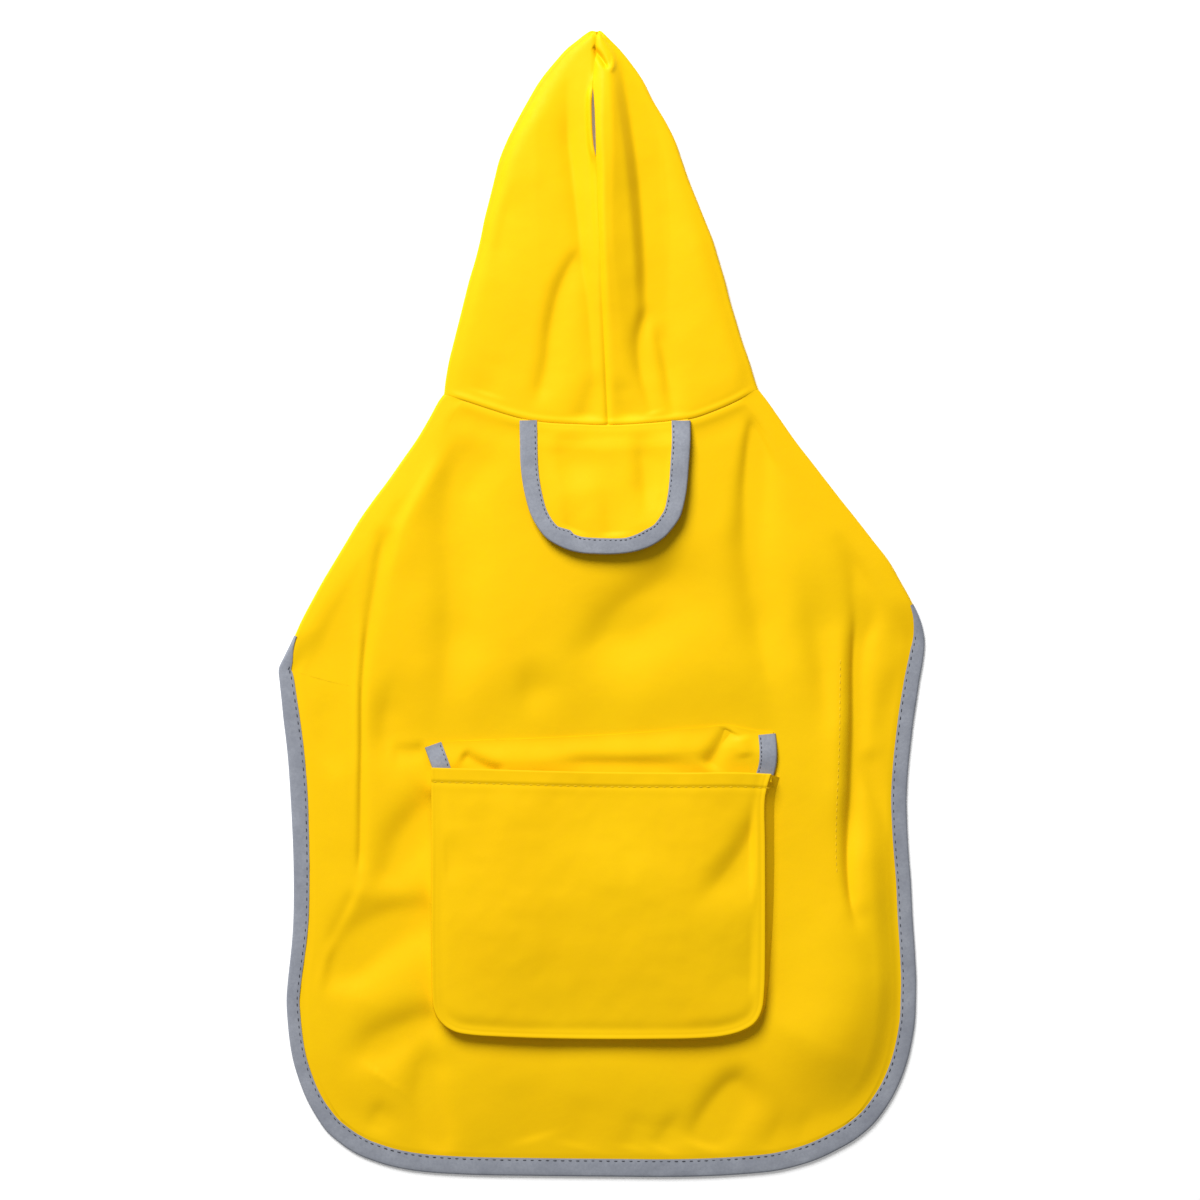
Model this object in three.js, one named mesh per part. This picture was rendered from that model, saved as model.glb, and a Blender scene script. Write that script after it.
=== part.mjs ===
// Hooded dog raincoat with a bellows pocket and a harness flap, lying flat with its back up.
// Millimetres, +Z up, hood tip towards +Y, hem towards -Y. The origin is at the bottom centre of the box round it.
//
// Every piece is cut cloth: a middle surface worked out from the tables below, given its thickness at the end.
// The upper side edges of the coat and both sides of the hood are folds, where the cloth turns under. The lower
// sides and the hem are cut edges held in a folded tape. Pieces that are sewn together end SEAM apart.
import * as THREE from 'three';

// ---------------------------------------------------------------- sizes
const CLOTH = 1.2;                        // thickness of a cloth layer
const TAPE = 1.0;                         // thickness of one leg of the folded tape
const SEAM = 0.3;                         // room between two pieces
const TAPE_WIDTH = 9.0;                   // how far the tape reaches in from the edge
const TAPE_H = 2 * TAPE + 2 * SEAM + CLOTH;   // folded tape with the cloth between its legs
const EDGE_Z = TAPE_H / 2;                // middle of a cloth edge in a tape that lies on the ground
const EDGE_IN = TAPE + SEAM;              // the cloth ends this far inside the tape's outer edge
const MARGIN = 9.8;                       // flat border of the body cloth, just wider than the tape
const TURN_R = 2.1;                       // middle radius where the cloth turns under at a side fold
const UNDER = 5.0;                        // the back panel reaches this far on under the fold
const LOW_Z = CLOTH / 2;                  // middle of a layer that lies on the ground
const FOLD_Z = LOW_Z + 2 * TURN_R;        // middle of the upper layer beside a fold
const BACK_Z = 8.6;                       // back panel over the chest panel, with the body hollow between
const POCKET_BASE_Z = 3.2;                // back panel under the pocket
const POCKET_EDGE_Z = 11.0;               // pocket front at its sewn edges
const POCKET_CROWN = 2.6;                 // and how much higher in its middle
const FLAP_LIFT = 2.1;                    // harness flap over the back panel
const FLAP_EDGE_LIFT = 3.1;               // and at its taped edge
const LEFT_FOLD_END = -17;                // lowest point of the left side fold
const RIGHT_FOLD_END = -0.5;              // and of the right one

const YELLOW = { color: 0xf2c40c, roughness: 0.5, metalness: 0 };
const GREY = { color: 0x9297a3, roughness: 0.7, metalness: 0 };

// ---------------------------------------------------------------- tables
const table = (names, rows) => rows.map(r => Object.fromEntries(names.split(' ').map((n, i) => [n, r[i]])));

// Outline of the body from the left neck corner, down round the hem, to the right neck corner.
const OUTLINE = table('x y', [
  [-83.8, 112.9], [-92.1, 97.7], [-106.0, 76.4], [-121.5, 55.0], [-135.4, 33.6], [-148.2, 12.3], [-159.9, -9.1],
  [-166.3, -24.0], [-171.4, -34.7], [-169.5, -54.5], [-166.9, -83.8], [-164.7, -115.9], [-163.7, -147.9],
  [-164.7, -180.0], [-167.4, -212.0], [-165.8, -233.4], [-161.0, -254.7], [-150.3, -276.1], [-133.2, -292.1],
  [-98.5, -302.5], [-43.0, -304.9], [31.8, -306.0], [92.6, -302.8], [125.2, -292.1], [146.6, -276.1],
  [159.4, -254.7], [165.3, -233.4], [167.9, -201.3], [166.3, -169.3], [163.7, -137.2], [162.6, -105.2],
  [165.3, -73.2], [169.5, -41.1], [172.2, -19.8], [165.3, 1.6], [153.5, 23.0], [137.0, 44.3], [119.9, 65.7],
  [103.3, 87.0], [83.8, 114.0]]);
const LEFT_CORNER = { x: -146.1, y: -281.4 };     // where the side becomes the hem
const RIGHT_CORNER = { x: 141.2, y: -281.4 };

// Seam between the hood and the back panel, left to right.
const NECK = table('x y', [
  [-83.8, 112.9], [-64.3, 105.7], [-43.0, 98.8], [-21.6, 95.3], [2.4, 94.4], [26.4, 95.6], [47.8, 99.1],
  [63.8, 104.7], [83.8, 114.0]]);

// Sides of the hood from the neck corner to the tip, and the seam down the middle of its back.
const HOOD_LEFT = table('x y', [
  [-83.8, 112.9], [-80.9, 129.8], [-75.6, 151.1], [-70.2, 172.5], [-64.3, 193.8], [-59.5, 215.2], [-54.2, 236.6],
  [-49.9, 247.2], [-44.6, 257.9], [-38.7, 268.6], [-32.3, 279.3], [-23.8, 290.0], [-16.0, 297.5], [-7.0, 305.5]]);
const HOOD_RIGHT = table('x y', [
  [83.8, 114.0], [78.8, 129.8], [71.8, 151.1], [65.7, 172.5], [59.5, 193.8], [51.0, 215.2], [43.0, 236.6],
  [39.2, 247.2], [33.9, 257.9], [27.5, 268.6], [22.2, 279.3], [14.7, 290.0], [8.5, 297.5], [2.4, 306.0]]);
const HOOD_SEAM = table('x y', [
  [2.4, 94.4], [2.7, 125.5], [1.3, 153.8], [-0.3, 189.6], [-1.3, 211.5], [-1.9, 231.2], [-3.5, 247.2],
  [-4.5, 268.6], [-4.0, 290.0], [-2.4, 305.9]]);
// Height of the hood's back along its middle, and half the width of the face opening under it.
const HOOD_FORM = table('y crown open', [
  [94, 8.6, 0.2], [106, 11.2, 0.2], [122, 13.2, 6], [145, 13.8, 17], [170, 13.6, 23], [200, 13.0, 25],
  [230, 12.4, 23], [255, 11.2, 17], [275, 9.4, 9], [290, 7.6, 4.5], [305, 5.2, 1.2]]);

// Lower edge of the chest panel, under the back panel, left to right.
const CHEST_EDGE = table('x y', [
  [-142, -4], [-110, 8], [-60, 20], [0, 26], [60, 25], [112, 17], [142, 11]]);

// Harness flap: left side down, across, right side up.
const FLAP = table('x y', [
  [-43.5, 97.7], [-42.9, 78.0], [-41.0, 60.3], [-36.6, 44.3], [-28.0, 33.6], [-13.6, 28.4], [5.1, 26.7],
  [22.0, 28.6], [33.5, 34.6], [41.5, 46.0], [44.8, 60.3], [46.7, 80.0], [47.8, 97.9]]);

// Pocket: left edge down from the mouth, across the bottom, right edge up. "out" is how far the gusset's foot stands out.
const POCKET = table('x y out', [
  [-90.7, -88.1, 0.5], [-90.2, -130.0, 0.5], [-90.4, -175.0, 0.5], [-90.0, -205.0, 0.6], [-87.6, -217.5, 0.8],
  [-81.4, -226.0, 1.0], [-70.0, -230.3, 1.0], [-30.0, -232.3, 1.0], [20.0, -232.8, 1.0], [62.0, -231.6, 1.0],
  [76.0, -228.6, 1.2], [84.6, -220.0, 1.5], [87.6, -207.0, 1.8], [88.4, -170.0, 2.4], [87.9, -130.0, 3.4],
  [90.8, -92.2, 4.4]]);
// Pocket flap: left side down from its sewn edge, across the tucked end, right side up.
const POCKET_FLAP = table('x y', [
  [-93.7, -75.6], [-91.2, -84.0], [-87.4, -89.6], [-85.4, -100.0], [-83.6, -116.0], [-79.0, -123.5], [-70.0, -126.8],
  [-20.0, -127.6], [40.0, -127.0], [72.0, -125.6], [80.5, -121.5], [84.0, -112.0], [85.6, -100.0], [87.2, -93.6],
  [91.4, -86.8], [92.9, -68.9]]);
const POCKET_FLAP_TOP = table('x y', [
  [-93.7, -75.6], [-84.1, -74.2], [-38.7, -72.1], [15.8, -69.4], [67.0, -66.4], [83.6, -67.6], [92.9, -68.9]]);

// Largest folds of the back panel: a soft trough (height below 0) or ridge from x0,y0 to x1,y1, with its half width.
const BODY_FOLDS = table('x0 y0 x1 y1 half height', [
  [-121, 38, -125, -4, 7, -1.6], [-128, -30, -128, -121, 6, -1.2], [131, 24, 131, -52, 8, -1.7],
  [130, -60, 131, -140, 8, -1.4], [83, 104, 76, 48, 9, -2.4], [75, 30, 84, -44, 9, -2.0],
  [-87, 84, -88, -50, 11, -1.6], [-108, -40, -102, -78, 8, 1.2], [24, 10, -24, -34, 10, -1.9],
  [-44, -28, -42, -56, 8, -1.2], [52, 6, 48, -44, 13, 1.2], [-98, -112, -122, -142, 9, -1.3],
  [-104, -150, -150, -192, 9, -1.7], [-112, -150, -138, -176, 9, 1.2], [-102, -214, -137, -244, 9, -1.7],
  [-97, -244, -92, -284, 8, -1.6], [-116, -258, -126, -282, 8, 1.0], [72, -246, 50, -284, 9, -2.0],
  [84, -252, 64, -288, 9, 1.4], [30, -252, 24, -288, 10, 0.9], [-40, -254, -46, -288, 13, 0.9],
  [150, -180, 132, -268, 10, -1.8], [120, -214, 108, -262, 12, 1.4], [149, -95, 140, -128, 9, -1.2],
  [152, -42, 145, -72, 8, -1.0]]);
// And of the hood.
const HOOD_FOLDS = table('x0 y0 x1 y1 half height', [
  [9, 268, 16, 226, 5.5, -5.0], [16, 226, 24, 168, 6, -4.6], [22, 152, 24, 110, 7, -3.0], [32, 148, 38, 106, 7, -2.0],
  [2, 280, 5, 200, 4, 3.4], [5, 200, 7, 120, 5, 1.8], [34, 236, 46, 160, 8, 2.4], [-18, 276, -12, 214, 6, -2.6],
  [-11, 212, -5, 120, 6, -2.4], [-14, 186, -34, 116, 7, -2.2], [-30, 232, -24, 150, 8, 1.8], [-52, 176, -62, 128, 9, 1.2],
  [-3.5, 250, 2, 112, 3.5, -1.6]]);

// ---------------------------------------------------------------- curves
const V = (x, y, z = 0) => new THREE.Vector3(x, y, z);
const UP = V(0, 0, 1);
const clamp01 = t => Math.min(1, Math.max(0, t));
const mix = (a, b, t) => a + (b - a) * t;
const smooth = (a, b, t) => { const k = clamp01((t - a) / (b - a)); return k * k * (3 - 2 * k); };

function curveOf(rows) {
  const c = new THREE.CatmullRomCurve3(rows.map(r => V(r.x, r.y)), false, 'centripetal');
  c.arcLengthDivisions = 600;
  return c;
}
// Column of a table against its first column, straight between rows.
function lookUp(rows, key, col, at) {
  let i = 1;
  while (i < rows.length - 1 && at > rows[i][key]) i += 1;
  const a = rows[i - 1], b = rows[i];
  return mix(a[col], b[col], clamp01((at - a[key]) / (b[key] - a[key])));
}
function nearestShare(curve, p) {
  let best = 0, low = Infinity;
  for (let i = 0; i <= 1200; i += 1) {
    const d = curve.getPointAt(i / 1200).distanceTo(V(p.x, p.y));
    if (d < low) { low = d; best = i / 1200; }
  }
  return best;
}
// Point and inward direction on a curve that keeps the cloth on its left when walked (or right, with side -1).
function rail(curve, t, side = 1) {
  const p = curve.getPointAt(clamp01(t)), g = curve.getTangentAt(clamp01(t));
  return { p, inward: V(-g.y, g.x).multiplyScalar(side) };
}
function distanceTo(points, x, y) {
  let low = Infinity;
  for (let i = 1; i < points.length; i += 1) {
    const a = points[i - 1], b = points[i], dx = b.x - a.x, dy = b.y - a.y;
    const k = clamp01(((x - a.x) * dx + (y - a.y) * dy) / (dx * dx + dy * dy));
    low = Math.min(low, Math.hypot(x - a.x - k * dx, y - a.y - k * dy));
  }
  return low;
}
function foldsAt(folds, x, y) {
  let z = 0;
  for (const f of folds) {
    const d = distanceTo([{ x: f.x0, y: f.y0 }, { x: f.x1, y: f.y1 }], x, y);
    z += f.height * Math.exp(-((d / f.half) ** 2));
  }
  return z;
}

// ---------------------------------------------------------------- cloth from a middle surface
// A sheet is a welded list of points, each with the direction of its outer face, and four-sided cells.
class Sheet {
  constructor() { this.points = []; this.cells = []; this.fixed = new Map(); this.seen = new Map(); }
  point(p) {
    const key = [p.x, p.y, p.z].map(v => Math.round(v * 1e4)).join();
    if (!this.seen.has(key)) { this.seen.set(key, this.points.length); this.points.push(p.clone()); }
    return this.seen.get(key);
  }
  // rows of points; the outer face is the one from which columns run right and rows run down the page
  grid(rows, flip = false) {
    const ids = rows.map(r => r.map(p => this.point(p)));
    for (let i = 1; i < ids.length; i += 1) for (let j = 1; j < ids[i].length; j += 1) {
      const cell = [ids[i][j - 1], ids[i][j], ids[i - 1][j], ids[i - 1][j - 1]];
      this.cells.push(flip ? cell.reverse() : cell);
    }
    return ids;
  }
  // An edge at a seam is cut square to the row of points along it, so that the next piece can lie beside it.
  square(ids) {
    const across = this.points[ids[ids.length - 1]].clone().sub(this.points[ids[0]]).setZ(0).normalize();
    ids.forEach((id, k) => {
      const a = this.points[ids[Math.max(0, k - 1)]], b = this.points[ids[Math.min(ids.length - 1, k + 1)]];
      const t = b.clone().sub(a), flat = V(t.x, t.y), along = flat.dot(across) < 0 ? -flat.length() : flat.length();
      const way = flat.length() > 1e-6 ? flat.clone().normalize().multiplyScalar(Math.sign(along)) : across;
      this.fixed.set(id, way.multiplyScalar(-t.z).add(V(0, 0, along)).normalize());
    });
  }
  solid(thickness) {
    const normals = this.points.map(() => V(0, 0, 0));
    for (const c of this.cells) {
      const [a, b, d, e] = c.map(i => this.points[i]);
      const n = d.clone().sub(a).cross(e.clone().sub(b));
      c.forEach(i => normals[i].add(n));
    }
    normals.forEach((n, i) => (this.fixed.has(i) ? n.copy(this.fixed.get(i)) : n.normalize()));
    const count = this.points.length, xyz = [], index = [], open = new Map();
    for (const side of [0.5, -0.5]) this.points.forEach((p, i) => {
      const q = p.clone().addScaledVector(normals[i], side * thickness);
      xyz.push(q.x, q.y, Math.max(0, q.z));
    });
    for (const [a, b, d, e] of this.cells) {
      index.push(a, b, d, a, d, e, count + a, count + d, count + b, count + a, count + e, count + d);
      for (const [s, t] of [[a, b], [b, d], [d, e], [e, a]]) {
        if (open.has(`${t},${s}`)) open.delete(`${t},${s}`); else open.set(`${s},${t}`, [s, t]);
      }
    }
    for (const [s, t] of open.values()) index.push(t, s, count + s, t, count + s, count + t);
    return meshData(xyz, index);
  }
}
function meshData(xyz, index) {
  const g = new THREE.BufferGeometry();
  g.setAttribute('position', new THREE.Float32BufferAttribute(xyz, 3));
  g.setIndex(index);
  g.computeVertexNormals();
  return g;
}
// Patch between four edges; top and bottom run left to right, left and right run top to bottom.
function patch(top, bottom, left, right) {
  const nu = top.length - 1, nv = left.length - 1, rows = [];
  for (let i = 0; i <= nv; i += 1) {
    const v = i / nv, row = [];
    for (let j = 0; j <= nu; j += 1) {
      const u = j / nu;
      const one = k => mix(top[j][k], bottom[j][k], v) + mix(left[i][k], right[i][k], u)
        - mix(mix(top[0][k], top[nu][k], u), mix(bottom[0][k], bottom[nu][k], u), v);
      row.push(V(one('x'), one('y')));
    }
    rows.push(row);
  }
  return rows;
}
// Folded tape over a cloth edge: stations with the outer edge's point, the way in, the middle height and the reach.
function tape(stations) {
  const h = TAPE_H / 2, xyz = [], index = [];
  const section = w => [[w, h], [0.45, h], [0, h - 0.45], [0, 0.45 - h], [0.45, -h], [w, -h], [w, TAPE - h], [TAPE, TAPE - h],
    [TAPE, h - TAPE], [w, h - TAPE]];
  const n = section(1).length, m = stations.length;
  for (const s of stations) for (const [d, z] of section(s.reach ?? TAPE_WIDTH)) {
    xyz.push(s.p.x + s.inward.x * d, s.p.y + s.inward.y * d, s.z + z);
  }
  for (let i = 1; i < m; i += 1) for (let k = 0; k < n; k += 1) {
    const a = (i - 1) * n + k, b = (i - 1) * n + (k + 1) % n, c = i * n + (k + 1) % n, d = i * n + k;
    index.push(a, b, c, a, c, d);
  }
  for (const [at, order] of [[0, 1], [(m - 1) * n, -1]]) {
    const flat = [[0, 9, 8], [0, 8, 1], [1, 8, 2], [2, 8, 7], [2, 7, 3], [3, 7, 4], [4, 7, 6], [4, 6, 5]];
    for (const [a, b, c] of flat) index.push(...(order > 0 ? [at + a, at + b, at + c] : [at + a, at + c, at + b]));
  }
  return meshData(xyz, index);
}

// ---------------------------------------------------------------- body
const outline = curveOf(OUTLINE), neck = curveOf(NECK);
const outlinePoints = outline.getSpacedPoints(260);
const cornerL = nearestShare(outline, LEFT_CORNER), cornerR = nearestShare(outline, RIGHT_CORNER);
const NU = 22, NV = 22;                                   // cells across and down the back panel

// Middle height of the back panel.
function backZ(x, y) {
  const d = distanceTo(outlinePoints, x, y);
  const foldEnd = mix(LEFT_FOLD_END, RIGHT_FOLD_END, clamp01((x + 165) / 330));
  const folded = smooth(foldEnd - 15, foldEnd - 1, y);
  const edge = mix(EDGE_Z, FOLD_Z, folded);
  const inner = mix(4.6, BACK_Z, smooth(-62, -4, y));
  const rise = 1 - Math.exp(-Math.max(0, d - MARGIN) / 17);
  let z = mix(edge, inner, rise) + foldsAt(BODY_FOLDS, x, y) * smooth(MARGIN, 24, d) * smooth(2, 18, distanceTo(neckPoints, x, y));
  const outX = Math.max(0, Math.abs(x) - 98), outY = Math.max(0, Math.abs(y + 150) - 88);
  z = mix(POCKET_BASE_Z, z, smooth(0, 14, Math.hypot(outX, outY)));
  return Math.max(z, LOW_Z + 0.3);
}
const neckPoints = neck.getSpacedPoints(60);
// The seam itself runs level over the middle of the neck and comes down to the side folds.
const neckZ = x => mix(BACK_Z, FOLD_Z, smooth(46, 74, Math.abs(x)));

// Section of the flat border, from MARGIN outwards: turned under at a fold, straight where a tape holds it.
function border(folded) {
  if (!folded) return [9.8, 8.1, 6.4, 4.7, 3.0, EDGE_IN].map(d => ({ d, z: EDGE_Z }));
  const centre = TURN_R + CLOTH / 2, turn = [0, 60, 120, 180].map(a => a * Math.PI / 180);
  return [{ d: MARGIN, z: FOLD_Z }, ...turn.map(a => ({ d: centre - TURN_R * Math.sin(a), z: LOW_Z + TURN_R + TURN_R * Math.cos(a) })),
    { d: centre + UNDER, z: LOW_Z }];
}
const isFolded = p => p.y > (p.x < 0 ? LEFT_FOLD_END : RIGHT_FOLD_END);
const stationsOn = (from, to, n) => Array.from({ length: n + 1 }, (_, i) => rail(outline, mix(from, to, i / n)));
const leftStations = stationsOn(0, cornerL, NV), hemStations = stationsOn(cornerL, cornerR, NU);
const rightStations = stationsOn(cornerR, 1, NV).reverse();

function backPanel() {
  const sheet = new Sheet(), neckLength = neck.getLength();
  const alongNeck = (from, d) => {                        // a point on the neck seam, d in from its left or right end
    const p = neck.getPointAt(clamp01(from < 0 ? d / neckLength : 1 - d / neckLength));
    return V(p.x, p.y - 0.2);
  };
  const borderAt = (s, row, side) => border(isFolded(s.p)).map(b => {
    const p = row === 0 ? alongNeck(side, b.d) : s.p.clone().addScaledVector(s.inward, b.d);
    return V(p.x, p.y, b.z);
  });
  const lefts = leftStations.map((s, i) => borderAt(s, i, -1)), rights = rightStations.map((s, i) => borderAt(s, i, 1));
  const hems = hemStations.map(s => border(false).map(b => {
    const p = s.p.clone().addScaledVector(s.inward, b.d);
    return V(p.x, p.y, b.z);
  }));
  const a = MARGIN / neckLength;
  const top = Array.from({ length: NU + 1 }, (_, j) => { const p = neck.getPointAt(mix(a, 1 - a, j / NU)); return V(p.x, p.y - 0.2); });
  const inside = patch(top, hems.map(h => h[0]), lefts.map(l => l[0]), rights.map(r => r[0]));
  inside.forEach((row, i) => row.forEach((p, j) => {
    if (i === 0) p.z = neckZ(p.x);
    else if (i === NV || j === 0 || j === NU) p.copy(i === NV ? hems[j][0] : j === 0 ? lefts[i][0] : rights[i][0]);
    else p.z = backZ(p.x, p.y);
  }));
  inside[0][0].copy(lefts[0][0]); inside[0][NU].copy(rights[0][0]);
  const rows = inside.map((row, i) => [...lefts[i].slice(1).reverse(), ...row, ...rights[i].slice(1)]);
  const ids = sheet.grid(rows);
  sheet.grid(Array.from({ length: 6 }, (_, k) => hems.map(h => h[k])));
  sheet.square(ids[0]);
  return sheet.solid(CLOTH);
}

function edgeBinding() {
  const all = [...leftStations.slice(0, -1), ...hemStations, ...[...rightStations].reverse().slice(1)];
  return tape(all.filter(s => !isFolded(s.p)).map(s => ({ ...s, z: EDGE_Z })));
}

// ---------------------------------------------------------------- chest panel, under the back panel
const frontNeckY = x => {                                 // its neckline dips lower than the one at the back
  const k = clamp01((x + 83.8) / 167.6);
  const p = neck.getPointAt(k);
  return p.y - 9 * Math.sin(Math.PI * k) ** 1.2;
};
const chestCurve = curveOf(CHEST_EDGE);
const CN = 10;
function chestRail(t) {
  const r = rail(chestCurve, t);
  if (t < 0.001) r.inward = V(0.42, 1); else if (t > 0.999) r.inward = V(-0.52, 1);
  else if (t < 0.11) r.inward = V(0.0, 1); else if (t > 0.89) r.inward = V(0.0, 1);
  return r;
}
function chestPanel() {
  const sheet = new Sheet(), n = 7, inset = TURN_R + CLOTH / 2 + UNDER + SEAM + 0.2;
  const side = sign => {                                  // beside the turned-under edge of the back panel
    const pts = (sign < 0 ? leftStations : rightStations).map((r, i) => {
      if (i > 0) return r.p.clone().addScaledVector(r.inward, inset);
      const at = neck.getPointAt(sign < 0 ? inset / neck.getLength() : 1 - inset / neck.getLength());
      return V(at.x, at.y - 0.2);
    });
    const low = chestCurve.getPointAt(sign < 0 ? 0 : 1).y + 9.0, fine = [];
    pts.slice(1).forEach((p, i) => { for (let k = 0; k < 12; k += 1) fine.push(pts[i].clone().lerp(p, k / 12)); });
    const kept = fine.filter(p => p.y > low && p.y < 109);
    return Array.from({ length: n + 1 }, (_, i) => kept[Math.round(i / n * (kept.length - 1))]);
  };
  const left = side(-1), right = side(1);
  const rim = Array.from({ length: CN + 1 }, (_, j) => chestRail(j / CN));
  const bottom = rim.map(r => r.p.clone().addScaledVector(r.inward, MARGIN));
  left[n] = bottom[0]; right[n] = bottom[CN];
  const top = Array.from({ length: CN + 1 }, (_, j) => {
    const x = mix(left[0].x, right[0].x, j / CN);
    return V(x, Math.min(frontNeckY(x) - 0.3, 109));
  });
  left[0] = top[0]; right[0] = top[CN];
  const rows = patch(top, bottom, left, right);
  rows.forEach((row, i) => row.forEach(p => { p.z = i === n ? EDGE_Z : LOW_Z; }));
  rows.push(rim.map(r => { const p = r.p.clone().addScaledVector(r.inward, EDGE_IN); return V(p.x, p.y, EDGE_Z); }));
  const ids = sheet.grid(rows);
  sheet.square(ids[0]);
  return sheet.solid(CLOTH);
}
const chestBinding = () => tape(Array.from({ length: CN + 1 }, (_, j) => ({ ...chestRail(j / CN), z: EDGE_Z })));

// ---------------------------------------------------------------- hood
const hoodSeam = curveOf(HOOD_SEAM);
function hoodHalf(sign) {
  const side = curveOf(sign < 0 ? HOOD_LEFT : HOOD_RIGHT), sheet = new Sheet();
  const NR = 16, NT = 7;                                  // rows to the tip, cells from the seam to the side fold
  const turn = [0, 60, 120, 180].map(a => a * Math.PI / 180);
  const neckShare = nearestShare(neck, { x: 2.4, y: 94.4 });
  const rail2 = [], seam2 = [];
  for (let i = 0; i <= NR; i += 1) {
    const t = i / NR, share = mix(t, t * t * (3 - 2 * t), 0.15);
    const r = rail(side, share, sign < 0 ? -1 : 1), s = hoodSeam.getPointAt(share);
    const half = Math.abs(r.p.x - s.x), radius = Math.min(TURN_R, Math.max(0.95, half * 0.26));
    if (i === 0) r.inward = neck.getTangentAt(sign < 0 ? 0 : 1).multiplyScalar(sign < 0 ? 1 : -1);
    if (i === 1) r.inward.lerp(neck.getTangentAt(sign < 0 ? 0 : 1).multiplyScalar(sign < 0 ? 1 : -1), 0.4).normalize();
    rail2.push({ ...r, radius });
    seam2.push(V(s.x + sign * 0.2, s.y));
  }
  const inner = rail2.map(r => r.p.clone().addScaledVector(r.inward, r.radius + CLOTH / 2));
  const a = rail2[0].radius + CLOTH / 2, neckLength = neck.getLength();
  const top = Array.from({ length: NT + 1 }, (_, j) => neck.getPointAt(
    sign < 0 ? mix(neckShare, a / neckLength, j / NT) : mix(neckShare, 1 - a / neckLength, j / NT)));
  top[0] = seam2[0].clone(); inner[0] = top[NT].clone();
  const bottom = Array.from({ length: NT + 1 }, (_, j) => seam2[NR].clone().lerp(inner[NR], j / NT));
  const upper = patch(top, bottom, seam2, inner);
  const rows = upper.map((row, i) => {
    const r = rail2[i], edgeZ = LOW_Z + 2 * r.radius;
    row.forEach((p, j) => {
      const q = 1 - j / NT, crown = lookUp(HOOD_FORM, 'y', 'crown', p.y);
      const form = mix(edgeZ, Math.max(crown, edgeZ), 1 - (1 - q) ** 2.4);
      const free = smooth(0, 0.24, 1 - j / NT) * smooth(0, 20, distanceTo(neckPoints, p.x, p.y)) * smooth(303, 280, p.y);
      p.z = i === 0 ? (j === NT ? edgeZ : neckZ(p.x)) : j === NT ? edgeZ : Math.max(form + foldsAt(HOOD_FOLDS, p.x, p.y) * free, edgeZ * 0.9);
      p.y += i === 0 ? 0.2 : 0;
    });
    const section = turn.slice(1).map(angle => {
      const d = r.radius + CLOTH / 2 - r.radius * Math.sin(angle);
      const at = i === 0 ? neck.getPointAt(clamp01(sign < 0 ? d / neckLength : 1 - d / neckLength)) : r.p.clone().addScaledVector(r.inward, d);
      return V(at.x, at.y + (i === 0 ? 0.2 : 0), LOW_Z + r.radius + r.radius * Math.cos(angle));
    });
    // underside, from the fold in to the edge of the face opening
    const from = section[section.length - 1], seam = seam2[i];
    const open = lookUp(HOOD_FORM, 'y', 'open', seam.y), NUnder = 4, low = [];
    const reach = Math.max(0.8, Math.abs(from.x - seam.x) - open);
    for (let k = 1; k <= NUnder; k += 1) {
      const x = from.x - sign * reach * k / NUnder;
      const straight = mix(from.y, seam.y - 9 * Math.max(0, 1 - i / 3), k / NUnder);
      const curved = frontNeckY(x) + 0.3;
      low.push(V(x, mix(straight, curved, Math.max(0, 1 - i / 2.5)), LOW_Z));
    }
    return [...row, ...section, ...low];
  });
  const ids = sheet.grid(rows, sign > 0);
  if (sign < 0) sheet.square([...ids[0]].reverse()); else sheet.square(ids[0]);
  return sheet.solid(CLOTH);
}

// ---------------------------------------------------------------- flaps and pocket
// Stations along a U shaped edge: nv cells down its left side, nu across its lower end, nv up its right side.
const aroundU = ([a, b], nu, nv) => [...Array.from({ length: nv }, (_, i) => mix(0, a, i / nv)),
  ...Array.from({ length: nu }, (_, j) => mix(a, b, j / nu)), ...Array.from({ length: nv + 1 }, (_, i) => mix(b, 1, i / nv))];
// Patch inside such an edge.
function insideU(edge, topCurve, inset, shares, nu, nv, cut = 0) {
  const at = t => { const r = rail(edge, t); return r.p.clone().addScaledVector(r.inward, inset); };
  const [a, b] = shares;
  const left = Array.from({ length: nv + 1 }, (_, i) => at(mix(0, a, i / nv)));
  const bottom = Array.from({ length: nu + 1 }, (_, j) => at(mix(a, b, j / nu)));
  const right = Array.from({ length: nv + 1 }, (_, i) => at(mix(1, b, i / nv)));
  const top = Array.from({ length: nu + 1 }, (_, j) => {
    const p = topCurve ? topCurve(j / nu) : left[0].clone().lerp(right[0], j / nu);
    return V(p.x, p.y - cut);
  });
  left[0] = top[0]; right[0] = top[nu];
  return patch(top, bottom, left, right);
}
const flapEdge = curveOf(FLAP);
const flapZ = (x, y, d) => backZ(x, Math.min(y, 88)) + mix(FLAP_EDGE_LIFT, FLAP_LIFT, smooth(TAPE_WIDTH + 0.6, 19, d));
function harnessFlap() {
  const edge = flapEdge.getSpacedPoints(90), l = nearestShare(neck, { x: -42.2, y: 98 }), r = nearestShare(neck, { x: 46.5, y: 98 });
  const rows = insideU(flapEdge, u => neck.getPointAt(mix(l, r, u)), EDGE_IN, [0.36, 0.64], 10, 8, 0.5);
  const sheet = new Sheet();
  rows.forEach(row => row.forEach(p => { p.z = flapZ(p.x, p.y, distanceTo(edge, p.x, p.y)); }));
  sheet.square(sheet.grid(rows)[0]);
  return sheet.solid(CLOTH);
}
function flapBinding() {
  return tape(aroundU([0.36, 0.64], 10, 8).map(t => {
    const s = rail(flapEdge, t);
    if (t === 0 || t === 1) s.p.y -= 1.2;
    const q = s.p.clone().addScaledVector(s.inward, TAPE_WIDTH / 2);
    return { ...s, z: flapZ(q.x, q.y, 0) };
  }));
}

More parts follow.
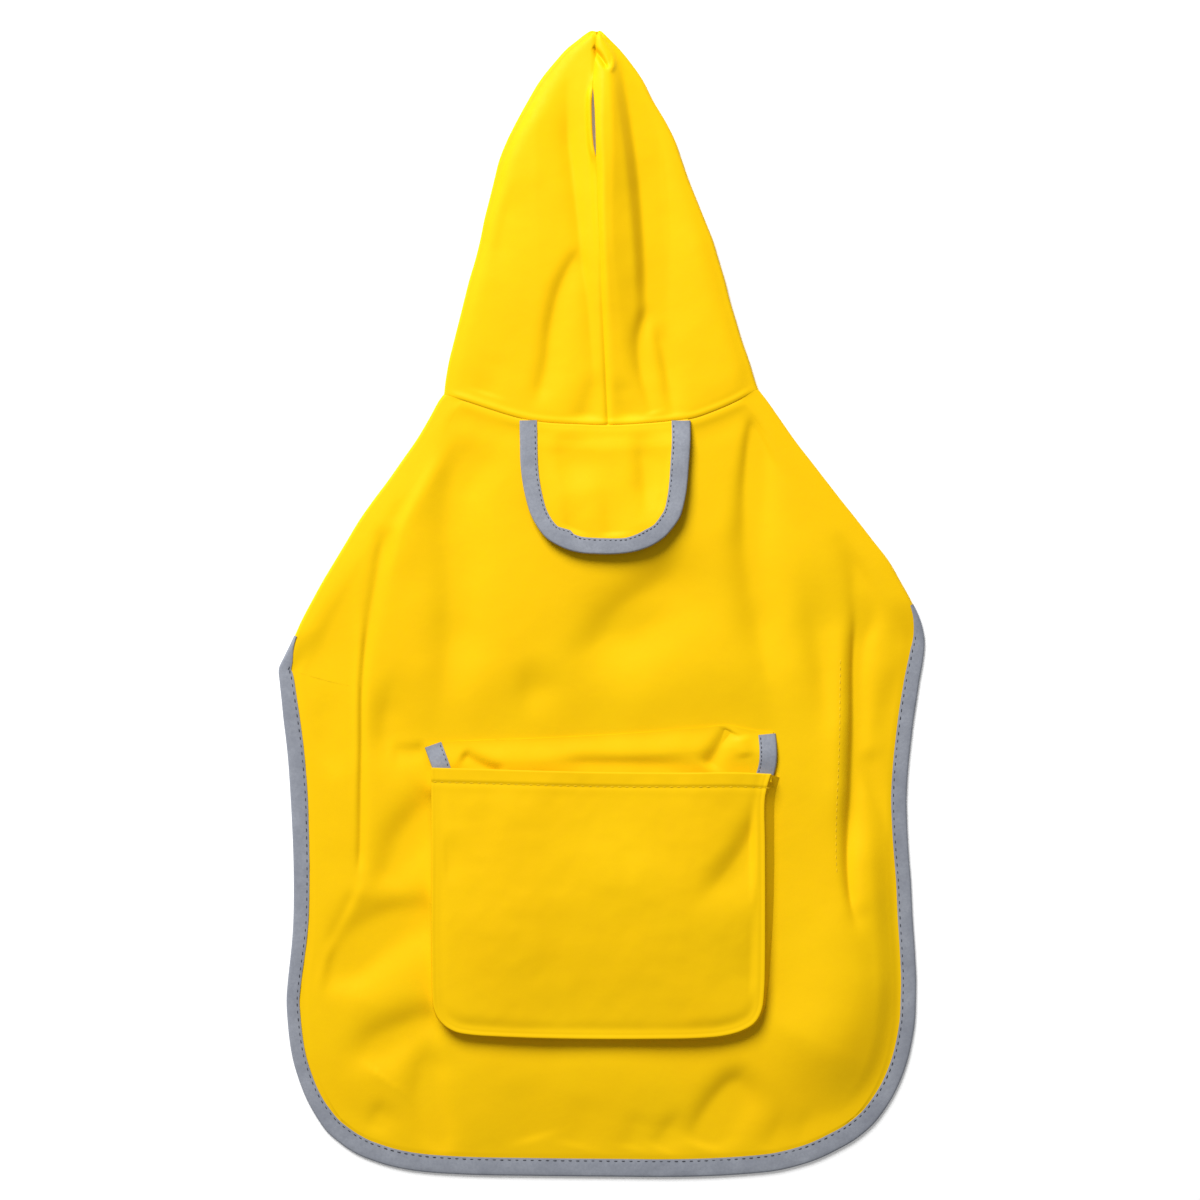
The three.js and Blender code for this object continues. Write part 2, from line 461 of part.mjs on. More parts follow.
const pocketEdge = curveOf(POCKET);
const pocketZ = (x, y, d) => POCKET_EDGE_Z + 0.9 * Math.exp(-(((d - 1.5) / 2.2) ** 2)) - 0.7 * Math.exp(-(((d - 7) / 3.5) ** 2))
  + POCKET_CROWN * smooth(8, 34, d) - 1.0 * foldBump(x, y);
const foldBump = (x, y) => Math.exp(-((distanceTo([{ x: 82, y: -126 }, { x: 52, y: -152 }], x, y) / 8) ** 2));
function pocketFront() {
  const edge = pocketEdge.getSpacedPoints(160), sheet = new Sheet();
  const rows = insideU(pocketEdge, null, 0, [0.325, 0.68], 14, 11);
  // two extra columns and a row follow the sewn edge closely, for its pinched ridge
  rows.forEach((row, i) => row.forEach((p, j) => {
    const d = distanceTo(edge, p.x, p.y);
    p.z = j === 0 || j === row.length - 1 || i === rows.length - 1 ? POCKET_EDGE_Z + 0.6 : pocketZ(p.x, p.y, d);
  }));
  sheet.grid(rows);
  return sheet.solid(CLOTH);
}
function pocketGusset() {
  const n = 26, rows = [[], [], []], foot = POCKET_BASE_Z + CLOTH / 2 + SEAM + 0.45, head = POCKET_EDGE_Z - CLOTH / 2 - SEAM - 0.1;
  for (let i = 0; i <= n; i += 1) {
    const s = rail(pocketEdge, i / n), out = lookUp(POCKET.map((r, k) => ({ k: k / (POCKET.length - 1), out: r.out })), 'k', 'out', i / n);
    const at = (d, z) => V(s.p.x + s.inward.x * d, s.p.y + s.inward.y * d, z);
    const pleat = 1.0 + 1.4 * smooth(0, 0.06, i / n) * smooth(1, 0.94, i / n);
    rows[0].push(at(1.2, head)); rows[1].push(at(pleat, mix(foot, head, 0.5))); rows[2].push(at(0.9 - out, foot));
  }
  const sheet = new Sheet();
  sheet.grid(rows, false);
  return sheet.solid(CLOTH);
}
const flapEdge2 = curveOf(POCKET_FLAP), flapTop2 = curveOf(POCKET_FLAP_TOP);
const TUCKED_Z = POCKET_BASE_Z + CLOTH / 2 + SEAM + EDGE_Z;
function pocketFlap() {
  const rows = insideU(flapEdge2, u => flapTop2.getPointAt(mix(0.008, 0.992, u)), EDGE_IN, [0.22, 0.78], 12, 5);
  rows.forEach(row => row.forEach(p => { p.z = TUCKED_Z; }));
  const sheet = new Sheet();
  sheet.grid(rows);
  return sheet.solid(CLOTH);
}
const pocketFlapBinding = () => tape(aroundU([0.22, 0.78], 12, 5).map(t => ({ ...rail(flapEdge2, t), z: TUCKED_Z })));

// ---------------------------------------------------------------- the coat
const coat = new THREE.Group();
coat.name = 'dog_raincoat';
for (const [name, geometry, look] of [
  ['back_panel', backPanel(), YELLOW], ['chest_panel', chestPanel(), YELLOW],
  ['hood_left', hoodHalf(-1), YELLOW], ['hood_right', hoodHalf(1), YELLOW],
  ['edge_binding', edgeBinding(), GREY], ['chest_binding', chestBinding(), GREY],
  ['harness_flap', harnessFlap(), YELLOW], ['harness_flap_binding', flapBinding(), GREY],
  ['pocket_front', pocketFront(), YELLOW], ['pocket_gusset', pocketGusset(), YELLOW],
  ['pocket_flap', pocketFlap(), YELLOW], ['pocket_flap_binding', pocketFlapBinding(), GREY]]) {
  const mesh = new THREE.Mesh(geometry, new THREE.MeshStandardMaterial({ ...look }));
  mesh.name = name;
  coat.add(mesh);
}
export default coat;
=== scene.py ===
# Hooded dog raincoat with a bellows pocket and a harness flap, lying flat with its back up.
# Every cloth piece is a thin shell on a middle surface worked out from the tables below.
# Tables are in chart units: x to the right, y down the page, one unit is S millimetres on the ground.
import math
import bpy
import numpy as np
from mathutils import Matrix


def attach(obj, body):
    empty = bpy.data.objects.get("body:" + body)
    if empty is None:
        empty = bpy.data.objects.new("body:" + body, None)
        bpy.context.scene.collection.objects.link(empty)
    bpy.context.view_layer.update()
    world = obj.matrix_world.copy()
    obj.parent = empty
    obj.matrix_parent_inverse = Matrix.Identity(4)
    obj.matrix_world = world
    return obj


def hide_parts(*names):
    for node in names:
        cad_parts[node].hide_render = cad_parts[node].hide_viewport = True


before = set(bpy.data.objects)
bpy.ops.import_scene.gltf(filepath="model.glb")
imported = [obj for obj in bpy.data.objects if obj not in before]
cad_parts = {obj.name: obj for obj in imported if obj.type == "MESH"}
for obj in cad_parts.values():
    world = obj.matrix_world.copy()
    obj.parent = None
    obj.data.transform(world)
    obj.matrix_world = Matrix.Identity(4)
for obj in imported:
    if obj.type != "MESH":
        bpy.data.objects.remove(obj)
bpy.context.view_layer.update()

S = 0.534                      # millimetres to a chart unit
MIDX, MIDY = 600.5, 603.0      # chart position of the frame's origin
HIGH = 1780.0                  # camera height, mm
CAMX, CAMY = -0.27, 1.6        # and its place over the ground, mm


# ------------------------------------------------------------------ small helpers
def chart(rows):
    """Chart positions to millimetres."""
    a = np.asarray(rows, float)
    out = a.copy()
    out[..., 0] = (a[..., 0] - MIDX) * S
    out[..., 1] = (MIDY - a[..., 1]) * S
    return out


def clamp01(t):
    return np.clip(t, 0.0, 1.0)


def smooth(a, b, t):
    k = clamp01((np.asarray(t, float) - a) / (b - a))
    return k * k * (3 - 2 * k)


def mix(a, b, t):
    return a + (b - a) * t


def look_up(rows, at):
    """Second column of a table against its first, smoothly between rows."""
    a = np.asarray(rows, float)
    order = np.argsort(a[:, 0])
    return np.interp(at, a[order, 0], a[order, 1])


def dense(p, per=16):
    """Centripetal Catmull-Rom points through rows of any width; the first two columns are the place."""
    p = np.asarray(p, float)
    q = np.vstack([2 * p[0] - p[1], p, 2 * p[-1] - p[-2]])
    out = []
    for i in range(1, len(q) - 2):
        a, b, c, d = q[i - 1:i + 3]
        t0 = 0.0
        t1 = t0 + max(np.hypot(*(b - a)[:2]) ** 0.5, 1e-4)
        t2 = t1 + max(np.hypot(*(c - b)[:2]) ** 0.5, 1e-4)
        t3 = t2 + max(np.hypot(*(d - c)[:2]) ** 0.5, 1e-4)
        t = np.linspace(t1, t2, per, endpoint=False)[:, None]
        A1 = (t1 - t) / (t1 - t0) * a + (t - t0) / (t1 - t0) * b
        A2 = (t2 - t) / (t2 - t1) * b + (t - t1) / (t2 - t1) * c
        A3 = (t3 - t) / (t3 - t2) * c + (t - t2) / (t3 - t2) * d
        B1 = (t2 - t) / (t2 - t0) * A1 + (t - t0) / (t2 - t0) * A2
        B2 = (t3 - t) / (t3 - t1) * A2 + (t - t1) / (t3 - t1) * A3
        out.append((t2 - t) / (t2 - t1) * B1 + (t - t1) / (t2 - t1) * B2)
    out.append(p[-1:])
    return np.vstack(out)


class Curve:
    def __init__(self, rows, per=16):
        self.p = dense(rows, per)
        step = np.hypot(*np.diff(self.p[:, :2], axis=0).T)
        keep = np.concatenate([[True], step > 1e-9])
        self.p = self.p[keep]
        self.s = np.concatenate([[0], np.cumsum(np.hypot(*np.diff(self.p[:, :2], axis=0).T))])
        self.length = self.s[-1]

    def at(self, t):
        s = clamp01(t) * self.length
        return np.stack([np.interp(s, self.s, self.p[:, k]) for k in range(self.p.shape[1])], -1)

    def along(self, t, e=1.0):
        e = e / self.length
        t = np.asarray(t, float)
        d = self.at(np.minimum(t + e, 1))[..., :2] - self.at(np.maximum(t - e, 0))[..., :2]
        return d / np.linalg.norm(d, axis=-1, keepdims=True)

    def inward(self, t, side=1, e=1.0):
        g = self.along(t, e)
        return np.stack([-g[..., 1], g[..., 0]], -1) * side

    def share(self, p):
        return float(self.s[np.argmin(np.hypot(*(self.p[:, :2] - np.asarray(p, float)).T))] / self.length)

    def spaced(self, n):
        return self.at(np.linspace(0, 1, n + 1))[:, :2]


def distance(path, P):
    """Least distance from points P (n, 2) to a polyline (m, 2)."""
    a, b = path[:-1], path[1:]
    d = b - a
    dd = np.maximum((d ** 2).sum(1), 1e-12)
    out = np.empty(len(P))
    for i in range(0, len(P), 4000):
        q = P[i:i + 4000, None, :] - a[None]
        k = clamp01((q * d[None]).sum(2) / dd)
        out[i:i + 4000] = np.sqrt(((q - k[..., None] * d[None]) ** 2).sum(2)).min(1)
    return out


def value_noise(x, y, size, seed):
    """Smooth noise of about -1 to 1 with cells of a given size, mm."""
    rng = np.random.RandomState(seed)
    table = rng.uniform(-1, 1, (64, 64))
    u, v = np.asarray(x) / size + 31.7, np.asarray(y) / size + 17.3
    i, j = np.floor(u).astype(int), np.floor(v).astype(int)
    f, g = u - i, v - j
    f, g = f * f * f * (f * (f * 6 - 15) + 10), g * g * g * (g * (g * 6 - 15) + 10)
    t = lambda a, b: table[a % 64, b % 64]
    return (t(i, j) * (1 - f) + t(i + 1, j) * f) * (1 - g) + (t(i, j + 1) * (1 - f) + t(i + 1, j + 1) * f) * g


def folds_field(P, folds, raw=False, wide=(1.0, 1.0)):
    """Sum of the listed folds at points P. Each fold is (rows, power, taper at its start, taper at its end), and a row
    is (x, y, half width on the upper left side, half width on the lower right side, height). The path is the middle of
    the flank that faces the upper left on a ridge, or the lower right in a trough."""
    z = np.zeros(len(P))
    lead = np.array([-0.64, 0.77])
    for rows, power, start, end in folds:
        a = np.asarray(rows, float)
        a = np.column_stack([chart(a[:, :2]), a[:, 2:4] * np.array(wide), a[:, 4:]])
        path = dense(a, 7)
        g = np.gradient(path[:, :2], axis=0)
        g /= np.maximum(np.linalg.norm(g, axis=1, keepdims=True), 1e-9)
        n = np.stack([-g[:, 1], g[:, 0]], 1)
        chord = path[-1, :2] - path[0, :2]
        if np.dot([-chord[1], chord[0]], lead) < 0:
            n = -n
        if not raw:
            path[:, :2] -= n * 0.7 * path[:, 2:3]
        reach = 2.6 * max(path[:, 2].max(), path[:, 3].max())
        low, top = path[:, :2].min(0) - reach, path[:, :2].max(0) + reach
        sel = np.where(((P >= low) & (P <= top)).all(1))[0]
        if not len(sel):
            continue
        s = np.concatenate([[0], np.cumsum(np.hypot(*np.diff(path[:, :2], axis=0).T))])
        s /= s[-1]
        Q = P[sel]
        best = np.full(len(Q), 1e9)
        at = np.zeros(len(Q))
        side = np.zeros(len(Q))
        for i in range(len(path) - 1):
            p, d = path[i, :2], path[i + 1, :2] - path[i, :2]
            q = Q - p
            k = clamp01((q * d).sum(1) / max((d ** 2).sum(), 1e-12))
            r = q - k[:, None] * d
            dist = np.hypot(r[:, 0], r[:, 1])
            near = dist < best
            best[near] = dist[near]
            at[near] = (s[i] + k * (s[i + 1] - s[i]))[near]
            side[near] = (r * n[i]).sum(1)[near]
        wa, wb, h = (np.interp(at, s, path[:, c]) for c in (2, 3, 4))
        blend = smooth(-0.6, 0.6, side)
        w = mix(wb, wa, blend)
        ends = (smooth(0, start, at) if start > 0 else 1.0) * (smooth(0, end, 1 - at) if end > 0 else 1.0)
        z[sel] += h * ends * np.exp(-(best / w) ** power)
    return z


def coons(top, bottom, left, right, u, v):
    """Patch between four edges; top and bottom run left to right, left and right run down the page."""
    u, v = u[None, :, None], v[:, None, None]
    return (mix(top[None], bottom[None], v) + mix(left[:, None], right[:, None], u)
            - mix(mix(top[0], top[-1], u), mix(bottom[0], bottom[-1], u), v))


def steps(first, grow, most, length, n):
    """n cells over 0 to 1, fine at the start; the length is not used."""
    size = np.minimum(first * grow ** np.arange(n), most)
    return np.concatenate([[0], np.cumsum(size)]) / size.sum()


def weighted(n, bumps):
    """n cells over 0 to 1, closer together round each (place, half width, how much)."""
    t = np.linspace(0, 1, 2001)
    d = 1 + sum(m * np.exp(-((t - c) / w) ** 2) for c, w, m in bumps)
    c = np.concatenate([[0], np.cumsum((d[1:] + d[:-1]) / 2)])
    return np.interp(np.linspace(0, 1, n + 1), c / c[-1], t)


# ------------------------------------------------------------------ meshes
def to_metres(p):
    """Millimetres to metres, drawn in a little with height, so that from the camera each point lies on its chart place."""
    p = np.asarray(p, float).copy()
    f = 1 - p[:, 2] / HIGH
    p[:, 0] = CAMX + (p[:, 0] - CAMX) * f
    p[:, 1] = CAMY + (p[:, 1] - CAMY) * f
    p[:, 2] = np.maximum(p[:, 2], 0)
    return p / 1000


def make_object(name, points, faces, material, angle=50, flat=False):
    mesh = bpy.data.meshes.new(name)
    mesh.from_pydata(to_metres(points).tolist(), [], faces)
    mesh.validate()
    mesh.update()
    if not flat:
        mesh.shade_smooth()
        mesh.set_sharp_from_angle(angle=math.radians(angle))
    obj = bpy.data.objects.new(name, mesh)
    bpy.context.scene.collection.objects.link(obj)
    for m in (material if isinstance(material, (list, tuple)) else [material]):
        mesh.materials.append(m)
    return obj


class Sheet:
    """Grids of points of a middle surface, welded where they meet, and turned into a shell of cloth. A grid has rows down
    the page and columns to the right, seen from its outer face. The inner layer has every second row and column."""

    def __init__(self):
        self.grids = []

    def grid(self, P, flip=False):
        self.grids.append((np.asarray(P, float), flip))

    def build(self, name, T, material, angle=50):
        flat = np.vstack([g.reshape(-1, 3) for g, _ in self.grids])
        _, first, inv = np.unique(np.round(flat, 3), axis=0, return_index=True, return_inverse=True)
        inv = inv.reshape(-1)
        P = flat[first]
        fine, coarse = [], []
        at = 0
        for g, flip in self.grids:
            R, C = g.shape[:2]
            ids = inv[at:at + R * C].reshape(R, C)
            at += R * C
            q = np.stack([ids[1:, :-1], ids[1:, 1:], ids[:-1, 1:], ids[:-1, :-1]], -1).reshape(-1, 4)
            assert (R - 1) % 2 == 0 and (C - 1) % 2 == 0, name
            e = ids[::2, ::2]
            c = np.stack([e[1:, :-1], e[1:, 1:], e[:-1, 1:], e[:-1, :-1],
                          ids[2::2, 1::2], ids[1::2, 2::2], ids[:-2:2, 1::2], ids[1::2, :-2:2]], -1).reshape(-1, 8)
            if flip:
                q, c = q[:, ::-1], c[:, [3, 2, 1, 0, 6, 5, 4, 7]]
            fine.append(q)
            coarse.append(c)
        fine, coarse = np.vstack(fine), np.vstack(coarse)
        corners = lambda c: (c[:, 0] != c[:, 1]).astype(int) + (c[:, 1] != c[:, 2]) + (c[:, 2] != c[:, 3]) + (c[:, 3] != c[:, 0])
        fine, coarse = fine[corners(fine) >= 3], coarse[corners(coarse) >= 3]
        a, b, c, d = (P[fine[:, k]] for k in range(4))
        n = np.cross(c - a, d - b)
        N = np.zeros_like(P)
        for k in range(4):
            np.add.at(N, fine[:, k], n)
        N /= np.maximum(np.linalg.norm(N, axis=1, keepdims=True), 1e-12)
        outer = P + N * T / 2
        inner = P - N * T / 2
        used = np.unique(coarse[:, :4])
        new = np.full(len(P), -1)
        new[used] = np.arange(len(used)) + len(P)
        verts = np.vstack([outer, inner[used]])
        verts[:, 2] = np.maximum(verts[:, 2], 0.02)
        faces = fine.tolist()
        faces += new[coarse[:, [3, 2, 1, 0]]].tolist()
        # rim
        s = np.concatenate([coarse[:, k] for k in range(4)])
        t = np.concatenate([coarse[:, (k + 1) % 4] for k in range(4)])
        m = np.concatenate([coarse[:, 4 + k] for k in range(4)])
        big = len(P) + 1
        rim = ~np.isin(s * big + t, t * big + s) & (s != t)
        for s, t, m in zip(s[rim], t[rim], m[rim]):
            faces += [[int(m), int(s), int(new[s])], [int(m), int(new[s]), int(new[t])], [int(t), int(m), int(new[t])]]
        faces = [f for f in ([f[i] for i in range(len(f)) if f[i] != f[i - 1]] for f in faces) if len(set(f)) == len(f) and len(f) > 2]
        return make_object(name, verts, faces, material, angle)


def capsules(name, points, ways, length, radius, material, sides=8):
    """One mesh of small rounded stitches: middles, directions, all in mm."""
    prof = [(-1, 0.0), (-0.93, 0.45), (-0.75, 0.8), (-0.35, 1.0), (0.35, 1.0), (0.75, 0.8), (0.93, 0.45), (1, 0.0)]
    verts, faces = [], []
    for p, g in zip(points, ways):
        g = np.asarray(g, float) / np.linalg.norm(g)
        side = np.cross([0, 0, 1.0], g)
        side /= np.linalg.norm(side)
        up = np.cross(g, side)
        base = len(verts)
        for i, (t, r) in enumerate(prof):
            c = np.asarray(p) + g * t * length / 2
            # a stitch sinks at both ends
            c = c - up * radius * 0.9 * abs(t) ** 2.5
            if r == 0:
                verts.append(c)
                continue
            for k in range(sides):
                a = 2 * math.pi * k / sides
                verts.append(c + radius * r * (side * math.cos(a) + up * math.sin(a)))
        rings = len(prof) - 2
        last = base + 1 + rings * sides
        for k in range(sides):
            j = (k + 1) % sides
            faces.append([base, base + 1 + j, base + 1 + k])
            faces.append([last, last - sides + k, last - sides + j])
            for i in range(rings - 1):
                o = base + 1 + i * sides
                faces.append([o + k, o + j, o + sides + j, o + sides + k])
    return make_object(name, np.array(verts), faces, material, 80)


# ------------------------------------------------------------------ materials
def new_material(name):
    m = bpy.data.materials.new(name)
    m.use_nodes = True
    m.node_tree.nodes.clear()
    return m, m.node_tree.nodes, m.node_tree.links


def noise(nodes, links, coord, scale, detail=3.0, rough=0.5, distortion=0.0):
    n = nodes.new("ShaderNodeTexNoise")
    n.inputs["Scale"].default_value = scale
    n.inputs["Detail"].default_value = detail
    n.inputs["Roughness"].default_value = rough
    n.inputs["Distortion"].default_value = distortion
    links.new(coord, n.inputs["Vector"])
    return n.outputs["Fac"]


def wave(nodes, links, coord, scale, axis, distortion=0.0):
    n = nodes.new("ShaderNodeTexWave")
    n.bands_direction = axis
    n.inputs["Scale"].default_value = scale
    n.inputs["Distortion"].default_value = distortion
    n.inputs["Detail"].default_value = 1.0
    n.inputs["Detail Scale"].default_value = 2.0
    links.new(coord, n.inputs["Vector"])
    return n.outputs["Fac"]


def math_node(nodes, links, op, a, b):
    n = nodes.new("ShaderNodeMath")
    n.operation = op
    for i, v in enumerate((a, b)):
        if isinstance(v, (int, float)):
            n.inputs[i].default_value = v
        else:
            links.new(v, n.inputs[i])
    return n.outputs[0]


def ramp(nodes, links, fac, stops):
    n = nodes.new("ShaderNodeValToRGB")
    el = n.color_ramp.elements
    while len(el) < len(stops):
        el.new(0.5)
    for e, (p, c) in zip(el, stops):
        e.position, e.color = p, (*c, 1)
    links.new(fac, n.inputs["Fac"])
    return n.outputs["Color"]


def mix_colour(nodes, links, fac, a, b, mode="MIX"):
    n = nodes.new("ShaderNodeMix")
    n.data_type, n.blend_type = "RGBA", mode
    for i, v in ((0, fac), (6, a), (7, b)):
        if isinstance(v, (int, float)):
            n.inputs[i].default_value = v
        elif isinstance(v, tuple):
            n.inputs[i].default_value = (*v, 1)
        else:
            links.new(v, n.inputs[i])
    return n.outputs[2]


def map_range(nodes, links, v, a, b, c, d):
    n = nodes.new("ShaderNodeMapRange")
    for i, x in enumerate((a, b, c, d)):
        n.inputs[i + 1].default_value = x
    links.new(v, n.inputs[0])
    return n.outputs[0]


def bumps(nodes, links, layers):
    normal = None
    for height, strength, dist in layers:
        b = nodes.new("ShaderNodeBump")
        b.inputs["Strength"].default_value = strength
        b.inputs["Distance"].default_value = dist
        links.new(height, b.inputs["Height"])
        if normal is not None:
            links.new(normal, b.inputs["Normal"])
        normal = b.outputs["Normal"]
    return normal


def finish_material(m, nodes, links, colour, rough, normal, specular, sheen=0.0, tint=(1, 1, 1)):
    b = nodes.new("ShaderNodeBsdfPrincipled")
    o = nodes.new("ShaderNodeOutputMaterial")
    if isinstance(colour, tuple):
        b.inputs["Base Color"].default_value = (*colour, 1)
    else:
        links.new(colour, b.inputs["Base Color"])
    if isinstance(rough, (int, float)):
        b.inputs["Roughness"].default_value = rough
    else:
        links.new(rough, b.inputs["Roughness"])
    b.inputs["Specular IOR Level"].default_value = specular
    b.inputs["Sheen Weight"].default_value = sheen
    b.inputs["Sheen Roughness"].default_value = 0.4
    b.inputs["Sheen Tint"].default_value = (*tint, 1)
    if normal is not None:
        links.new(normal, b.inputs["Normal"])
    links.new(b.outputs["BSDF"], o.inputs["Surface"])
    return m


def coated_cloth(name, light=(0.845, 0.520, 0.0025), deep=(0.825, 0.490, 0.002), weave=1.0):
    m, nodes, links = new_material(name)
    co = nodes.new("ShaderNodeTexCoord").outputs["Object"]
    broad = noise(nodes, links, co, 14, 3, 0.5)
    fine = noise(nodes, links, co, 260, 4, 0.6)
    speck = noise(nodes, links, co, 2600, 2, 0.5)
    c1 = mix_colour(nodes, links, map_range(nodes, links, broad, 0.35, 0.65, 0, 1), deep, light)
    c2 = mix_colour(nodes, links, map_range(nodes, links, fine, 0.3, 0.75, 0.0, 0.16), c1, (0.78, 0.43, 0.002))
    c3 = mix_colour(nodes, links, map_range(nodes, links, speck, 0.3, 0.7, 0.0, 0.10), c2, (0.90, 0.60, 0.004))
    # plain weave under the coating
    wx = wave(nodes, links, co, 690, "X", 0.3)
    wy = wave(nodes, links, co, 690, "Y", 0.3)
    cloth = math_node(nodes, links, "MULTIPLY", wx, wy)
    crumple = noise(nodes, links, co, 95, 5, 0.55, 0.6)
    soft = noise(nodes, links, co, 38, 3, 0.5, 0.4)
    normal = bumps(nodes, links, [(soft, 0.16, 0.0010), (crumple, 0.14, 0.0004), (cloth, 0.10 * weave, 0.0001), (speck, 0.12, 0.00005)])
    rough = map_range(nodes, links, fine, 0.3, 0.7, 0.44, 0.56)
    return finish_material(m, nodes, links, c3, rough, normal, 0.06)


def woven_tape(name):
    m, nodes, links = new_material(name)
    co = nodes.new("ShaderNodeTexCoord").outputs["Object"]
    broad = noise(nodes, links, co, 60, 3, 0.5)
    fine = noise(nodes, links, co, 700, 3, 0.6)
    c1 = mix_colour(nodes, links, map_range(nodes, links, broad, 0.3, 0.7, 0, 1), (0.235, 0.250, 0.290), (0.300, 0.318, 0.360))
    c2 = mix_colour(nodes, links, map_range(nodes, links, fine, 0.3, 0.7, 0.0, 0.45), c1, (0.18, 0.19, 0.23))
    a = wave(nodes, links, co, 520, "DIAGONAL", 0.6)
    b = wave(nodes, links, co, 620, "X", 0.4)
    c = wave(nodes, links, co, 620, "Y", 0.4)
    rib = math_node(nodes, links, "MULTIPLY", b, c)
    rib = math_node(nodes, links, "ADD", rib, math_node(nodes, links, "MULTIPLY", a, 0.4))
    ruck = noise(nodes, links, co, 150, 3, 0.5)
    normal = bumps(nodes, links, [(ruck, 0.3, 0.0006), (rib, 0.35, 0.00012)])
    return finish_material(m, nodes, links, c2, map_range(nodes, links, fine, 0.3, 0.7, 0.72, 0.86), normal, 0.18, 0.12, (0.8, 0.85, 1.0))


def thread(name, dark, light):
    m, nodes, links = new_material(name)
    co = nodes.new("ShaderNodeTexCoord").outputs["Object"]
    n = noise(nodes, links, co, 900, 2, 0.5)
    tw = wave(nodes, links, co, 1500, "DIAGONAL", 0.5)
    c = mix_colour(nodes, links, map_range(nodes, links, n, 0.3, 0.7, 0, 1), dark, light)
    return finish_material(m, nodes, links, c, 0.65, bumps(nodes, links, [(tw, 0.4, 0.0001)]), 0.2, 0.1)


def floor_material():
    m, nodes, links = new_material("floor_matt")
    co = nodes.new("ShaderNodeTexCoord").outputs["Object"]
    n = noise(nodes, links, co, 3, 2, 0.5)
    c = mix_colour(nodes, links, n, (0.905, 0.905, 0.905), (0.915, 0.915, 0.915))
    b = nodes.new("ShaderNodeBsdfPrincipled")
    o = nodes.new("ShaderNodeOutputMaterial")
    links.new(c, b.inputs["Base Color"])
    b.inputs["Roughness"].default_value = 0.9
    b.inputs["Specular IOR Level"].default_value = 0.0
    b.inputs["Emission Color"].default_value = (1, 1, 1, 1)
    b.inputs["Emission Strength"].default_value = 0.16
    links.new(b.outputs["BSDF"], o.inputs["Surface"])
    return m


CLOTH = coated_cloth("coated_cloth_yellow")
HIDDEN = coated_cloth("coated_cloth_inner", (0.80, 0.50, 0.02), (0.76, 0.46, 0.015), 1.4)
TAPE = woven_tape("binding_tape_grey")
DARK = thread("thread_dark_grey", (0.030, 0.032, 0.045), (0.060, 0.065, 0.085))
GOLD = thread("thread_yellow", (0.70, 0.44, 0.004), (0.88, 0.58, 0.01))

# ------------------------------------------------------------------ sizes, mm
T = 0.8                  # cloth
LEG = 0.52               # one leg of the tape
HALF = T / 2 + 0.06 + LEG / 2     # middle of a tape leg from the middle of the cloth in it
FLAT_Z = HALF + LEG / 2 + 0.02    # cloth edge in a tape that lies on the ground
TURN = 1.5               # middle radius of the turned-under folds
FOLD_Z = T / 2 + 2 * TURN
MARGIN = 9.8
BACK_Z = 7.4

# ------------------------------------------------------------------ body outline and neck seam
OUTLINE = [
    (444, 394), (439, 400.5), (428, 420.5), (416, 440.5), (402, 460.5), (388, 480.5), (373, 500.5), (359, 520.5), (347, 540.5),
    (335, 560.5), (323, 580.5), (312, 600.5), (301.5, 620.5), (292.5, 640.5), (284, 658), (279.2, 669), (280, 681), (282, 700),
    (284, 720), (286.5, 740), (288.5, 760), (290, 780), (291.2, 800), (292.3, 820), (293.2, 840), (293.9, 860), (294.2, 880),
    (294.2, 900), (293.8, 920), (292.6, 940), (290.6, 960), (288.4, 980), (287, 1000), (288, 1020), (290, 1040), (293.5, 1060),
    (299.5, 1080), (307.5, 1100), (319, 1120), (327, 1131), (337, 1140), (350, 1149.5), (361, 1155.5), (374, 1160.5),
    (390, 1165.5), (416, 1170.5), (462, 1174), (540, 1175.5), (624, 1176.3), (665, 1176.6), (706, 1175.8), (745, 1173.6),
    (775, 1170.5), (797, 1165.5), (813, 1160.5), (825, 1155.5), (836, 1150), (853, 1140.5), (866, 1130.5), (876, 1120.5),
    (890, 1100.5), (900, 1080.5), (907, 1060.5), (911.5, 1040.5), (914.5, 1020.5), (915.3, 1000), (915.6, 980), (914.8, 960),
    (913.6, 940), (912.2, 920), (911.2, 900), (910.2, 880), (908.6, 860), (907.3, 840), (906.4, 820), (906, 800), (906.8, 780),
    (908.4, 760), (910.6, 740), (913, 720), (916, 700), (919, 680), (922.5, 660), (924, 640), (920, 620.5), (911, 600.5),
    (900, 580.5), (888.5, 560.5), (873, 540.5), (857.5, 520.5), (841.5, 500.5), (826, 480.5), (810.5, 460.5), (795, 440.5),
    (781, 420.5), (767, 400.5), (758, 389)]
NECK = [(444, 394), (454, 397.5), (471, 403), (489, 409), (519, 418), (545, 422.6), (581, 424.6), (608, 425.5), (650, 423.4), (672, 421.4),
        (693, 418.4), (718, 409.6), (740, 399.5), (758, 389)]
# How wide the tape shows, against the distance down the page, on the left and the right side.
REACH_L = [(632, 0.6), (641, 1.2), (650, 2.9), (658, 4.9), (670, 6.8), (680, 7.4), (720, 8.4), (800, 8.8), (860, 8.1), (920, 7.7), (960, 7.0), (1000, 6.5),
           (1060, 6.9), (1090, 7.2), (1110, 7.6), (1130, 8.6), (1150, 9.1)]
REACH_R = [(596, 0.6), (604, 1.2), (613, 2.3), (620, 3.4), (630, 4.8), (640, 6.0), (650, 7.0), (665, 7.6), (700, 8.0), (800, 7.9), (860, 7.5), (940, 7.6),
           (1040, 7.9), (1090, 8.3), (1130, 8.9), (1150, 9.2)]
LEFT_FOLD, RIGHT_FOLD = (628, 672), (596, 644)            # the turned-under edge flattens out between these

outline, neck = Curve(chart(OUTLINE)), Curve(chart(NECK))
outline_line, neck_line = outline.spaced(420), neck.spaced(80)
